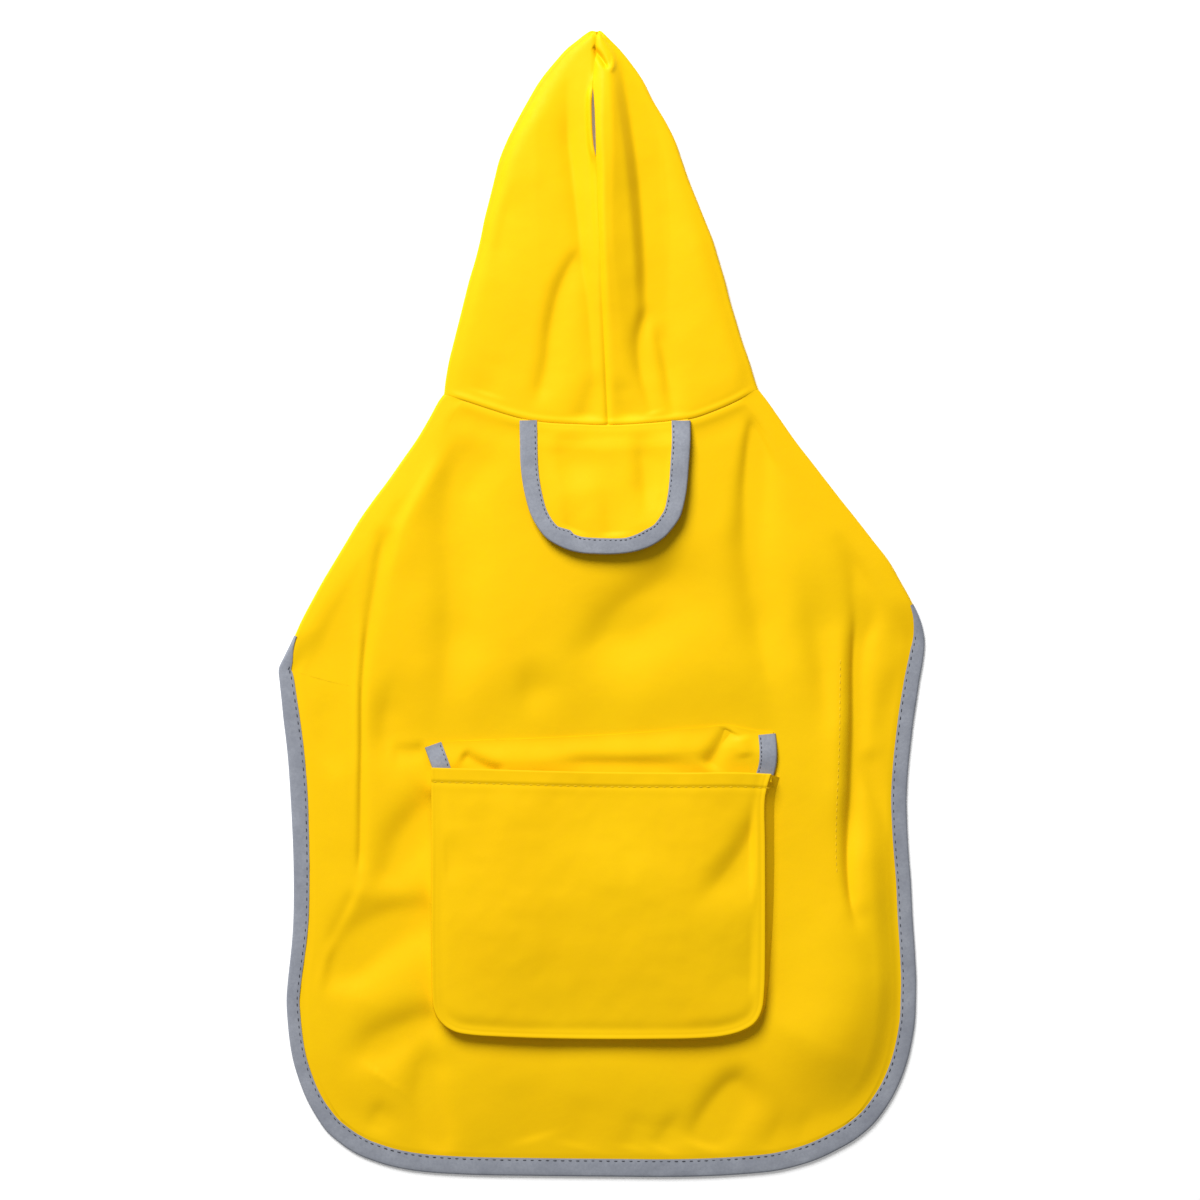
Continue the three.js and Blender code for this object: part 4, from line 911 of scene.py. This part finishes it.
def hood_half(sign):
    """Half of the hood, from the middle seam out to the side fold and on underneath."""
    side = Curve(chart(HOOD_LEFT if sign < 0 else HOOD_RIGHT))
    seam = Curve(chart(HOOD_SEAM))
    NR, NT = 168, 64
    v = steps(0.5, 1.08, 1.55, 0, NR)
    share = mix(v, v * v * (3 - 2 * v), 0.10)
    p = side.at(share)
    way = side.inward(share, -1 if sign < 0 else 1, 2.0)
    neck_way = neck.along(0.0 if sign < 0 else 1.0, 4) * (1 if sign < 0 else -1)
    k = smooth(0, 24, share * side.length)[:, None]
    way = mix(neck_way[None], way, k)
    way /= np.linalg.norm(way, axis=1, keepdims=True)
    s = seam.at(share)
    seam_mid = s[:, 0].copy()
    gap = look_up(SLIT, chart_y(s[:, 1])) * 0.5
    s = s + np.column_stack([sign * gap, np.zeros(len(gap))])
    half = np.abs(p[:, 0] - s[:, 0])
    radius = np.minimum(TURN, np.maximum(0.7, half * 0.30))
    inset = radius + T / 2
    inner = p + way * inset[:, None]
    share_neck = neck.share(chart([(608, 425.5)])[0])
    a = inset[0] / neck.length
    u = steps(0.42, 1.055, 2.2, 0, NT)
    top = neck.at(mix(share_neck, a if sign < 0 else 1 - a, u))
    top[0] = s[0]
    inner[0] = top[-1]
    bottom = mix(s[-1][None], inner[-1][None], u[:, None])
    q = coons(top, bottom, s, inner, u, v)
    flat = q.reshape(-1, 2)
    edge_z = T / 2 + 2 * radius
    cy = chart_y(q[..., 1])
    cx = q[..., 0] / S
    crown = hood_level(cx.reshape(-1), cy.reshape(-1), np.repeat(seam_mid / S, q.shape[1])).reshape(q.shape[:2])
    near_neck = distance(neck_line, flat).reshape(q.shape[:2])
    d_side = distance(side.spaced(300), flat).reshape(q.shape[:2])
    d_in = np.maximum(0, d_side - inset[:, None])
    near = mix(0.62, 0.30, smooth(120, 330, cy)) if sign < 0 else 0.7
    rise = near * (1 - np.exp(-(d_in / np.minimum(4.0, 0.3 + half * 0.14)[:, None]) ** 1.4)) \
        + (1 - near) * (1 - np.exp(-(d_in / np.minimum(38, 2 + half * 0.6)[:, None]) ** 1.4))
    form = mix(edge_z[:, None], np.maximum(crown, edge_z[:, None]), rise)
    seam_z = neck_z(top)
    form = mix(seam_z[None], form, smooth(0, 17, near_neck))
    free = smooth(2.5, 12, d_side) * smooth(0.3, 6.5, near_neck) * smooth(304.5, 294, q[..., 1])
    f = folds_field(flat, HOOD_FOLDS, raw=True).reshape(q.shape[:2])
    wave_ = (0.36 * value_noise(flat[:, 0], flat[:, 1], 28, 13) + 0.10 * value_noise(flat[:, 0], flat[:, 1], 13, 15)
             + 0.03 * value_noise(flat[:, 0], flat[:, 1], 6, 18)).reshape(q.shape[:2])
    z = form + (f + wave_) * free
    # soft roll over the neck seam
    z += 0.45 * np.exp(-((near_neck - 1.7) / 1.5) ** 2) * smooth(1.5, 10, d_side)
    # the seam down the middle sits in a shallow groove, and its edges stand up as lips round the slit
    d_seam = np.abs(q[..., 0] - s[:, :1])
    closed = smooth(158, 176, cy) + (1 - smooth(70, 84, cy))
    z -= 0.9 * np.exp(-(d_seam / 1.3) ** 1.6) * closed
    lip = smooth(84, 98, cy) * (1 - smooth(150, 164, cy))
    if sign < 0:
        z += 1.5 * lip * np.exp(-((d_seam - 0.9) / 1.2) ** 2)
    z = np.maximum(z, edge_z[:, None] * 0.9)
    z[:, -1] = edge_z
    z[0] = seam_z - 0.4
    z[0, -1] = edge_z[0]
    P = np.concatenate([q, z[..., None]], 2)
    # seam allowance down into the slit
    lead = P[:, 0]
    flange = []
    for off, drop in ((0.10, 0.30), (0.12, 1.1), (0.0, 2.4), (-0.1, 3.6)):
        f_ = lead.copy()
        f_[:, 0] -= sign * 0.0 + sign * off * -0.6
        f_[:, 2] = np.maximum(lead[:, 2] - drop * np.minimum(1, (lead[:, 2] - 2) / 5), 1.2)
        flange.append(f_)
    turn = []
    for deg in (22.5, 45, 67.5, 90, 112.5, 135, 157.5, 180):
        t = math.radians(deg)
        d = inset - radius * math.sin(t)
        xy = p + way * d[:, None]
        base = neck.at(d[0] / neck.length if sign < 0 else 1 - d[0] / neck.length)
        kk = (1 - smooth(0, 4, share * side.length))[:, None]
        xy = xy + (base - xy[0])[None] * kk
        turn.append(np.column_stack([xy, T / 2 + radius + radius * math.cos(t)]))
    # underside, to the edge of the face opening
    start = turn[-1]
    open_ = look_up(OPEN, s[:, 1])
    reach = np.maximum(0.8, np.abs(start[:, 0] - s[:, 0]) - open_)
    low = []
    for k in np.linspace(0, 1, 11)[1:]:
        x = start[:, 0] - sign * reach * k
        front = np.interp(np.clip((x + 83.8) / 167.6, 0, 1), np.linspace(0, 1, 201), neck.at(np.linspace(0, 1, 201))[:, 1]) \
            - 9 * np.sin(np.pi * np.clip((x + 83.8) / 167.6, 0, 1)) ** 1.2 + 0.3
        idx = share * side.length
        straight = mix(start[:, 1], s[:, 1], k)
        y = mix(straight, front, np.maximum(0, 1 - idx / 26))
        low.append(np.column_stack([x, y, np.full(len(x), T / 2 + 0.03 + 0.25 * math.sin(math.pi * k))]))
    cols = flange[::-1] + [P[:, j] for j in range(NT + 1)] + turn + low
    rows = np.stack(cols, 1)
    # allowance turned down at the neck
    first = rows[0]
    g = np.gradient(first[:, :2], axis=0)
    up = np.array([0.0, 1.0])
    hang = []
    lowz = smooth(0, 12, np.abs(first[:, 0] - p[0, 0])) * (first[:, 2] > 3)
    for off, drop in ((-0.25, 0.35), (-0.30, 1.0), (-0.2, 1.8), (-0.1, 2.6)):
        q_ = first.copy()
        q_[:, 1] += off * lowz
        q_[:, 2] = np.maximum(first[:, 2] - drop * lowz, 0.45)
        hang.append(q_)
    rows = rows.copy()
    rows[0, :, 1] += 0.0
    whole = np.concatenate([np.array(hang[::-1]), rows], 0)
    sheet = Sheet()
    sheet.grid(whole, flip=sign > 0)
    # seen from above, the left half's columns run left, so its cells are turned over
    return sheet


def build_hoods():
    out = []
    for sign, name in ((-1, "hood_left_cloth"), (1, "hood_right_cloth")):
        sh = hood_half(sign)
        P, _ = sh.grids[0]
        # rows run up the page from the neck: right half needs no turn, left half is mirrored
        sh.grids[0] = (P, sign > 0)
        out.append(sh.build(name, T, CLOTH))
    return out


# ------------------------------------------------------------------ U shaped pieces
def inside_u(edge, top_curve, inset, shares, nu, nv, cut=0.0, us=None, vs=None):
    us = np.linspace(0, 1, nu + 1) if us is None else us
    vs = np.linspace(0, 1, nv + 1) if vs is None else vs
    at = lambda t: edge.at(t)[:, :2] + edge.inward(t, 1, 1.5) * inset
    a, b = shares
    left, bottom, right = at(a * vs), at(mix(a, b, us)), at(1 - (1 - b) * vs)
    top = top_curve(us) if top_curve else mix(left[0][None], right[0][None], us[:, None])
    top = top.copy()
    top[:, 1] -= cut
    left[0], right[0] = top[0], top[-1]
    return coons(top, bottom, left, right, us, vs)


FLAP = [(520, 419), (520.4, 440), (521, 464), (523, 482), (526.5, 499), (531.5, 515), (539, 528.5), (547, 538), (558, 545), (570, 550), (581, 552.5),
        (596, 553.6), (610, 553.8), (625, 552.8), (639, 550), (652, 545), (664, 537), (673, 527), (680, 516), (684, 502), (686.5, 487), (688.6, 462),
        (690, 441), (690, 419)]
FLAP_REACH = [(0.0, 8.9), (0.10, 8.9), (0.2, 8.7), (0.3, 8.3), (0.34, 8.5), (0.37, 9.6), (0.385, 10.0), (0.40, 8.7), (0.43, 8.3), (0.5, 8.3), (0.56, 7.8), (0.60, 8.4), (0.63, 8.9), (0.67, 8.4), (0.74, 9.0), (0.82, 9.4), (0.9, 9.6), (1.0, 9.8)]
flap_edge = Curve(chart(FLAP))
flap_line = flap_edge.spaced(160)
FLAP_FOLDS = [
    ([(540, 430, 9, 10, -0.6), (552, 452, 10, 12, -1.5), (566, 478, 10, 12, -1.5), (580, 504, 9, 11, -0.7)], 2, .4, .5),
    ([(628, 426, 5, 7, -0.8), (635, 450, 5.4, 9, -1.7), (638, 478, 5.4, 9, -2.0), (640, 505, 5, 8, -1.4), (644, 530, 4, 7, -0.8)], 1.9, .35, .4),
    ([(600, 480, 5, 9, -0.5), (603, 510, 5, 9, -0.8), (606, 545, 5, 9, -0.8)], 2, .6, .05),
    ([(560, 490, 4, 7, -0.4), (564, 512, 4, 7, -0.8), (568, 540, 4, 7, -0.9)], 2, .6, .05),
]


def flap_base(P):
    """Middle of the harness flap over the back panel."""
    x, y = P[:, 0], P[:, 1]
    base = np.full(len(P), 0.0)
    edge = mix(FLAT_Z, FOLD_Z, 1.0)
    base = mix(8.2, 8.6, smooth(40, 90, y))
    return base


def flap_height(P):
    x, y = P[:, 0], P[:, 1]
    d = distance(flap_line, P)
    base = BACK_Z - 0.5 + 0 * x
    lift_edge = mix(2.0, 3.6, smooth(-38, 40, x - 0.35 * (y - 60)))
    lift = mix(lift_edge, 3.2, smooth(8, 20, d)) + 3.0 * smooth(8, 66, distance(neck_line, P))
    seam = np.maximum(0, distance(neck_line, P))
    z = base + mix(1.2, lift, smooth(0.0, 14, seam))
    z += folds_field(P, FLAP_FOLDS) * smooth(8.5, 12, d) * smooth(2, 9, seam)
    z += (0.18 * value_noise(x, y, 15, 33) + 0.04 * value_noise(x, y, 7, 34)) * smooth(1, 8, seam) * smooth(8.5, 13, d)
    z += 0.25 * np.exp(-((seam - 3.0) / 2.5) ** 2) * smooth(6, 12, d)
    return z


def harness_flap():
    l, r = neck.share(chart([(522.5, 418.6)])[0]), neck.share(chart([(687.5, 419.6)])[0])
    us = np.linspace(0, 1, 111)
    vs = steps(0.5, 1.08, 1.0, 0, 92)
    q = inside_u(flap_edge, lambda u: neck.at(mix(l, r, u)), 0.95, [0.36, 0.64], 110, 92, 0.1, us, vs)
    z = flap_height(q.reshape(-1, 2)).reshape(q.shape[:2])
    z[0] -= 0.2
    sheet = Sheet()
    sheet.grid(np.concatenate([q, z[..., None]], 2))
    cloth = sheet.build("harness_flap_cloth", T, CLOTH)
    n = 221
    t = np.linspace(0.004, 0.996, n)
    p, way = flap_edge.at(t), flap_edge.inward(t, 1, 2.0)
    reach = look_up(FLAP_REACH, t)
    mid = p + way * (reach / 2)[:, None]
    z = flap_height(mid)
    tape = tape_sheet("harness_flap_tape", p, way, z, reach, np.full(n, HALF), seed=5, s=along_length(p), ruck=0.14)
    s = along_length(p)
    marks = np.arange(3, s[-1] - 3, 3.0)
    at = np.interp(marks, s, t)
    q, w, g = flap_edge.at(at), flap_edge.inward(at, 1, 2.0), flap_edge.along(at, 2.0)
    r = look_up(FLAP_REACH, at)
    zz = flap_height(q + w * (r / 2)[:, None]) + HALF + LEG / 2 + 0.08
    pts = np.column_stack([q + w * (r - 1.0)[:, None], zz])
    st = capsules("harness_flap_stitches", pts, np.column_stack([g, np.zeros(len(g))]), 1.5, 0.23, DARK)
    return cloth, tape, st


# ------------------------------------------------------------------ pocket
POCKET = [(430.8, 768.2), (430.9, 790), (431.2, 820), (431.4, 850), (431.2, 890), (431.0, 930), (431.4, 965), (431.8, 990), (433.4, 1008), (437.5, 1018), (444.5, 1026),
          (455, 1032), (470, 1035), (500, 1037), (545, 1038.6), (600, 1039.4), (650, 1039.4), (700, 1038.4), (724, 1036), (742, 1031), (755, 1023),
          (762, 1010), (764.6, 990), (765.4, 960), (765.6, 920), (765.6, 880), (765.4, 840), (765.2, 800), (768, 785), (771.5, 774.6)]
pocket_edge = Curve(chart(POCKET))
pocket_line = pocket_edge.spaced(260)
MOUTH = [(430.8, 768.2), (480, 769.6), (540, 771.4), (600, 772.8), (680, 773.4), (740, 773.2), (771.5, 774.6)]
mouth = Curve(chart(MOUTH))
POCKET_FOLDS = [
    ([(764, 790, 5, 12, -1.2), (752, 818, 6, 14, -2.3), (736, 846, 7, 15, -2.9), (716, 872, 7.5, 15, -2.6), (698, 894, 7, 13, -1.8), (684, 910, 6, 12, -.9)], 1.9, .15, .35),
    ([(752, 900, 8, 10, -0.8), (748, 960, 9, 10, -1.2), (740, 1010, 9, 9, -1.0)], 2, .35, .3),
    ([(757, 880, 4, 3, 0.8), (756, 910, 4, 3, 0.6)], 2, .3, .3),
    ([(441, 830, 2.6, 5, -0.3), (445, 862, 3, 5, -0.5), (447, 890, 3, 5, -0.3)], 1.8, .3, .3),
    ([(500, 900, 16, 16, 0.6), (560, 960, 16, 16, 0.5)], 2, .4, .4),
    ([(640, 830, 18, 18, 0.5), (600, 900, 18, 18, 0.5)], 2, .4, .4),
    ([(470, 800, 9, 9, -0.4), (475, 860, 9, 9, -0.5)], 2, .4, .4),
]


def pocket_front():
    NU2, NV2 = 180, 140
    us = weighted(NU2, [(0.0, 0.035, 3.4), (1.0, 0.035, 3.4)])
    vs = weighted(NV2, [(0.0, 0.02, 3.0), (0.05, 0.03, 1.5), (1.0, 0.04, 3.4)])
    q = inside_u(pocket_edge, lambda u: mouth.at(u), 0.4, [0.325, 0.68], NU2, NV2, 0.0, us, vs)
    flat = q.reshape(-1, 2)
    x, y = flat[:, 0], flat[:, 1]
    d = distance(pocket_line, flat)
    dm = distance(mouth.spaced(100), flat)
    right, low, left = smooth(60, 84, x), smooth(-205, -222, y), smooth(-60, -84, x)
    pinch = 1.0 + 0.45 * right * (1 - low) + 0.1 * low - 0.5 * left * (1 - low) * smooth(-150, -110, y)
    z = 10.3 - 0.10 * pinch * np.exp(-((d - 2.3) / 0.9) ** 2) - 0.24 * pinch * np.exp(-((d - 4.8) / 2.8) ** 2) - 0.16 * (1 - smooth(0.0, 0.9, d))
    z -= 0.35 * low * np.exp(-((d - 6.0) / 3.4) ** 2) * (0.6 + 0.4 * smooth(-60, 0, x))
    crown = smooth(-4, 46, x + 91) * smooth(-4, 36, 89 - x) * smooth(-4, 76, y + 232)
    z += 3.1 * crown * (1 - 0.62 * smooth(-165, -88, y))
    z += folds_field(flat, POCKET_FOLDS) * smooth(4, 9, d)
    z += (0.30 * value_noise(x, y, 27, 41) + 0.14 * value_noise(x, y, 12, 42) + 0.05 * value_noise(x, y, 6, 43)) * smooth(4, 12, d)
    # hem at the mouth: rolled edge, double cloth, stitched down along its lower edge
    z += 0.45 * (1 - smooth(5.6, 8.2, dm)) - 0.14 * np.exp(-((dm - 7.3) / 0.8) ** 2) + 0.08 * np.exp(-((dm - 10) / 2.0) ** 2)
    z = z.reshape(q.shape[:2])
    P = np.concatenate([q, z[..., None]], 2)
    # edges rolled down: at the mouth and along the sewn sides
    first = P[0].copy()
    hem = []
    for dy, dz in ((-0.12, -0.3), (-0.5, -0.62), (-1.6, -0.88), (-4.0, -0.88)):
        r = first.copy()
        r[:, 1] += dy
        r[:, 2] += dz
        hem.append(r)
    whole = np.concatenate([np.array(hem[::-1]), P], 0)
    sheet = Sheet()
    sheet.grid(whole)
    cloth = sheet.build("pocket_front_cloth", T, CLOTH, 60)
    # hem stitches
    n = 46
    k = np.linspace(0.012, 0.988, n)
    m = mouth.at(k)
    pts = m + np.array([[0, -7.3]])
    dd = distance(pocket_line, pts)
    zz = np.array([z.reshape(-1)[np.argmin(((flat - pt) ** 2).sum(1))] for pt in pts])
    st = capsules("pocket_hem_stitches", np.column_stack([pts, zz + T / 2 + 0.0]), np.column_stack([mouth.along(k, 2), np.zeros(n)]), 2.4, 0.2, GOLD)
    return cloth, st


OUT = [(0.0, 0.4), (0.1, 0.5), (0.3, 0.7), (0.4, 1.0), (0.6, 1.2), (0.68, 1.4), (0.74, 2.4), (0.82, 4.6), (0.88, 5.2), (0.94, 5.6), (1.0, 5.9)]


def pocket_gusset():
    n = 321
    t = np.linspace(0.0, 1.0, n)
    p, way = pocket_edge.at(t), pocket_edge.inward(t, 1, 1.5)
    out = look_up(OUT, t)
    foot, head = 4.0, 9.7
    bulge = 0.9 * np.sin(np.pi * t) * value_noise(t * 400, 0 * t + 3, 17, 51)
    rows = []
    for k in np.linspace(0, 1, 13):
        z = mix(head, foot, k) + (0.35 * math.sin(math.pi * k))
        # leans out from under the pinched edge to the foot, with a soft pleat on the way
        d = mix(1.0, 0.9 - out, k ** 1.15) + 0.9 * np.sin(np.pi * k) * (0.4 + 0.2 * value_noise(t * 400, 0 * t, 23, 52)) - bulge * math.sin(math.pi * k) * 0.5
        rows.append(np.column_stack([p + way * d[:, None], np.full(n, z)]))
    sheet = Sheet()
    sheet.grid(np.array(rows))
    return sheet.build("pocket_gusset_cloth", 0.7, CLOTH)


# Pocket flap: sewn edge above, tucked end inside the pocket.
POCKET_FLAP = [(424.6, 745.6), (427.6, 754), (432.6, 767.5), (437, 782), (441, 800), (444, 818), (452, 834), (469, 840), (560, 841.5), (675, 840.5), (735, 838),
               (751, 830), (757.6, 814), (763.6, 798), (772.5, 778), (776, 764), (776.4, 748), (775, 731.5)]
POCKET_FLAP_TOP = [(424.6, 745.6), (443, 742), (528, 738), (630, 733), (700, 727.4), (728, 724.6), (742, 727.4), (757, 730), (775, 731.5)]
flap2_edge, flap2_top = Curve(chart(POCKET_FLAP)), Curve(chart(POCKET_FLAP_TOP))
FLAP2_FOLDS = [
    ([(462, 750, 3, 5, -1.4), (482, 760, 3.6, 5, -2.0), (508, 770, 3.6, 5, -1.2)], 1.9, .15, .2),
    ([(540, 757, 4, 5, -0.9), (610, 758, 4, 5, -1.2), (700, 760, 4, 5, -0.9)], 2, .3, .3),
    ([(726, 727, 2.6, 4, -1.2), (716, 742, 4, 5, -2.2), (700, 766, 5, 6, -1.8)], 1.8, .05, .2),
    ([(736, 735, 4, 4, 0.8), (740, 760, 4, 4, 0.6)], 2, .3, .3),
]


def flap2_height(P):
    x, y = P[:, 0], P[:, 1]
    top = np.interp(x, flap2_top.at(np.linspace(0, 1, 200))[:, 0], flap2_top.at(np.linspace(0, 1, 200))[:, 1])
    k = np.maximum(0, top - y)
    z = mix(4.6, 6.2, smooth(0, 13, k)) - 0.8 * smooth(12, 26, k)
    return z


def pocket_flap():
    us = np.linspace(0, 1, 141)
    vs = weighted(80, [(0.1, 0.16, 1.4)])
    q = inside_u(flap2_edge, lambda u: flap2_top.at(mix(0.004, 0.996, u)), 0.95, [0.22, 0.78], 140, 80, 0.4, us, vs)
    flat = q.reshape(-1, 2)
    d = distance(flap2_edge.spaced(160), flat)
    z = flap2_height(flat) + folds_field(flat, FLAP2_FOLDS) * smooth(8, 12, d)
    z += 0.2 * value_noise(flat[:, 0], flat[:, 1], 12, 61) * smooth(8, 12, d)
    z = z.reshape(q.shape[:2])
    sheet = Sheet()
    sheet.grid(np.concatenate([q, z[..., None]], 2))
    cloth = sheet.build("pocket_flap_cloth", T, CLOTH)
    n = 201
    t = np.linspace(0.004, 0.996, n)
    p, way = flap2_edge.at(t), flap2_edge.inward(t, 1, 2.0)
    mid = p + way * 4.5
    z = flap2_height(mid)
    reach = np.full(n, 9.0)
    tape = tape_sheet("pocket_flap_tape", p, way, z, reach, np.full(n, HALF), seed=7, s=along_length(p), ruck=0.14)
    s = along_length(p)
    marks = np.concatenate([np.arange(2.0, 18, 2.6), s[-1] - np.arange(2.0, 26, 2.6)])
    at = np.interp(marks, s, t)
    q2, w, g = flap2_edge.at(at), flap2_edge.inward(at, 1, 2.0), flap2_edge.along(at, 2.0)
    zz = flap2_height(q2 + w * 4.5) + HALF + LEG / 2 + 0.08
    st = capsules("pocket_flap_stitches", np.column_stack([q2 + w * 8.0, zz]), np.column_stack([g, np.zeros(len(g))]), 1.5, 0.24, DARK)
    return cloth, tape, st


# ------------------------------------------------------------------ chest panel, hidden under the back
CHEST_EDGE = [(-142, -4), (-110, 8), (-60, 20), (0, 26), (60, 25), (112, 17), (142, 11)]
chest_edge = Curve(CHEST_EDGE)


def chest_ways(t):
    w = chest_edge.inward(t, 1, 4)
    side = np.where(t < 0.5, 0.42, -0.52)
    k = np.where(t < 0.5, 1 - smooth(0.0, 0.11, t), smooth(0.89, 1.0, t))
    ends = np.stack([side, np.ones_like(t)], 1)
    ends /= np.linalg.norm(ends, axis=1, keepdims=True)
    w = mix(w, ends, k[:, None])
    return w / np.linalg.norm(w, axis=1, keepdims=True)


def chest_panel():
    nu, nv = 60, 40
    us, vs = np.linspace(0, 1, nu + 1), np.linspace(0, 1, nv + 1)
    inset = TURN + T / 2 + 6.0 + 0.4
    rail = chest_edge.at(us)
    way = chest_ways(us)
    bottom = rail + way * MARGIN

    def side(sign):
        t = np.linspace(0, 0.5, 400) if sign < 0 else 1 - np.linspace(0, 0.5, 400)
        pts = outline.at(t) + outline.inward(t, 1, 3) * inset
        low = bottom[0 if sign < 0 else -1, 1]
        keep = pts[(pts[:, 1] > low) & (pts[:, 1] < 106)]
        s = along_length(keep)
        out = np.stack([np.interp(vs * s[-1], s, keep[:, k]) for k in range(2)], 1)
        out[-1] = bottom[0 if sign < 0 else -1]
        return out
    left, right = side(-1), side(1)
    x = mix(left[0, 0], right[0, 0], us)
    k = np.clip((x + 83.8) / 167.6, 0, 1)
    nk = neck.at(np.linspace(0, 1, 401))
    top = np.stack([x, np.minimum(np.interp(x, nk[:, 0], nk[:, 1]) - 9 * np.sin(np.pi * k) ** 1.2 - 0.5, 106)], 1)
    left[0], right[0] = top[0], top[-1]
    q = coons(top, bottom, left, right, us, vs)
    z = np.full(q.shape[:2], T / 2 + 0.03) + 0.12 * (1 + value_noise(q[..., 0], q[..., 1], 30, 71)) * smooth(0, 0.15, vs)[:, None] * smooth(0, .15, 1 - vs)[:, None]
    z[-6:] = np.linspace(T / 2 + 0.05, FLAT_Z, 6)[:, None]
    P = np.concatenate([q, z[..., None]], 2)
    ext = np.stack([np.column_stack([rail + way * d, np.full(nu + 1, FLAT_Z)]) for d in (7, 3)])
    ext2 = np.stack([np.column_stack([rail + way * d, np.full(nu + 1, FLAT_Z)]) for d in (6.8, 3.9, 0.95)])
    rows = np.concatenate([P, ext2[:2], ext2[2:]], 0)
    if (rows.shape[0] - 1) % 2:
        rows = np.concatenate([P, ext2[:1], ext2[2:]], 0)
    sheet = Sheet()
    sheet.grid(rows)
    cloth = sheet.build("chest_cloth", T, HIDDEN)
    n = 141
    t = np.linspace(0, 1, n)
    p, w = chest_edge.at(t), chest_ways(t)
    tape = tape_sheet("chest_tape", p, w, np.full(n, FLAT_Z), np.full(n, 8.8), np.full(n, HALF), seed=9, s=along_length(p), ruck=0.05)
    return cloth, tape


# ------------------------------------------------------------------ topstitching on the right dart
DART_LINE = [(840.5, 660), (840, 690), (839.6, 730), (838.4, 770), (836.6, 810), (836, 850), (837, 878)]


def dart_stitches():
    c = Curve(chart(DART_LINE))
    s = np.arange(1, c.length - 1, 3.6)
    t = s / c.length
    p, g = c.at(t), c.along(t, 2)
    z = back_z(p) + T / 2 + 0.04
    return capsules("dart_stitches", np.column_stack([p, z]), np.column_stack([g, np.zeros(len(g))]), 2.5, 0.22, GOLD)


# ------------------------------------------------------------------ make everything
back = back_panel()
edge_tape_obj, edge_st = edge_tape()
hood_l, hood_r = build_hoods()
flap_cloth, flap_tape, flap_st = harness_flap()
pocket_cloth, hem_st = pocket_front()
gusset = pocket_gusset()
flap2_cloth, flap2_tape, flap2_st = pocket_flap()
chest_cloth, chest_tape = chest_panel()
dart_st = dart_stitches()

for obj, node, slot in ((back, "back_panel", "coat_cloth"), (edge_tape_obj, "edge_binding", "binding_tape"), (hood_l, "hood_left", "coat_cloth"),
                        (hood_r, "hood_right", "coat_cloth"), (flap_cloth, "harness_flap", "coat_cloth"),
                        (flap_tape, "harness_flap_binding", "binding_tape"), (pocket_cloth, "pocket_front", "coat_cloth"),
                        (gusset, "pocket_gusset", "coat_cloth"), (flap2_cloth, "pocket_flap", "coat_cloth"),
                        (flap2_tape, "pocket_flap_binding", "binding_tape"), (chest_cloth, "chest_panel", "coat_cloth"),
                        (chest_tape, "chest_binding", "binding_tape")):
    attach(obj, "root")
    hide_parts(node)
for obj, slot in ((edge_st, "binding_tape"), (flap_st, "binding_tape"), (flap2_st, "binding_tape"), (hem_st, "coat_cloth"), (dart_st, "coat_cloth")):
    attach(obj, "root")

# ------------------------------------------------------------------ studio
bpy.ops.mesh.primitive_plane_add(size=14, location=(0, 0, -0.00005))
floor = bpy.context.object
floor.name = "studio_floor"
floor.data.materials.append(floor_material())

world = bpy.data.worlds.new("soft_studio")
bpy.context.scene.world = world
world.use_nodes = True
world.node_tree.nodes["Background"].inputs[0].default_value = (1.0, 1.0, 1.0, 1)
world.node_tree.nodes["Background"].inputs[1].default_value = 0.28


def area_light(name, at, target, size, power, colour=(1, 1, 1)):
    d = bpy.data.lights.new(name, "AREA")
    d.shape, d.size, d.energy, d.color = "DISK", size, power, colour
    o = bpy.data.objects.new(name, d)
    bpy.context.scene.collection.objects.link(o)
    o.location = at
    v = np.array(target) - np.array(at)
    from mathutils import Vector
    o.rotation_euler = Vector(v).to_track_quat("-Z", "Y").to_euler()
    return o


az, el, dist = math.radians(116), math.radians(38), 2.7
area_light("key", (dist * math.cos(el) * math.cos(az), dist * math.cos(el) * math.sin(az), dist * math.sin(el)), (0, 0.0, 0), 1.5, 116)

cam = bpy.data.cameras.new("camera")
cam.lens, cam.sensor_width = 100, 36
cam.clip_end = 50
cam_obj = bpy.data.objects.new("camera", cam)
bpy.context.scene.collection.objects.link(cam_obj)
cam_obj.location = (CAMX / 1000, CAMY / 1000, HIGH / 1000)
cam_obj.rotation_euler = (0, 0, 0)
bpy.context.scene.camera = cam_obj
bpy.context.scene.view_settings.view_transform = "Standard"
bpy.context.scene.view_settings.look = "None"

tri = {o.name: sum(len(p.vertices) - 2 for p in o.data.polygons) for o in bpy.context.scene.objects if o.type == "MESH" and not o.hide_render}
print("TRIANGLES", tri, sum(tri.values()))
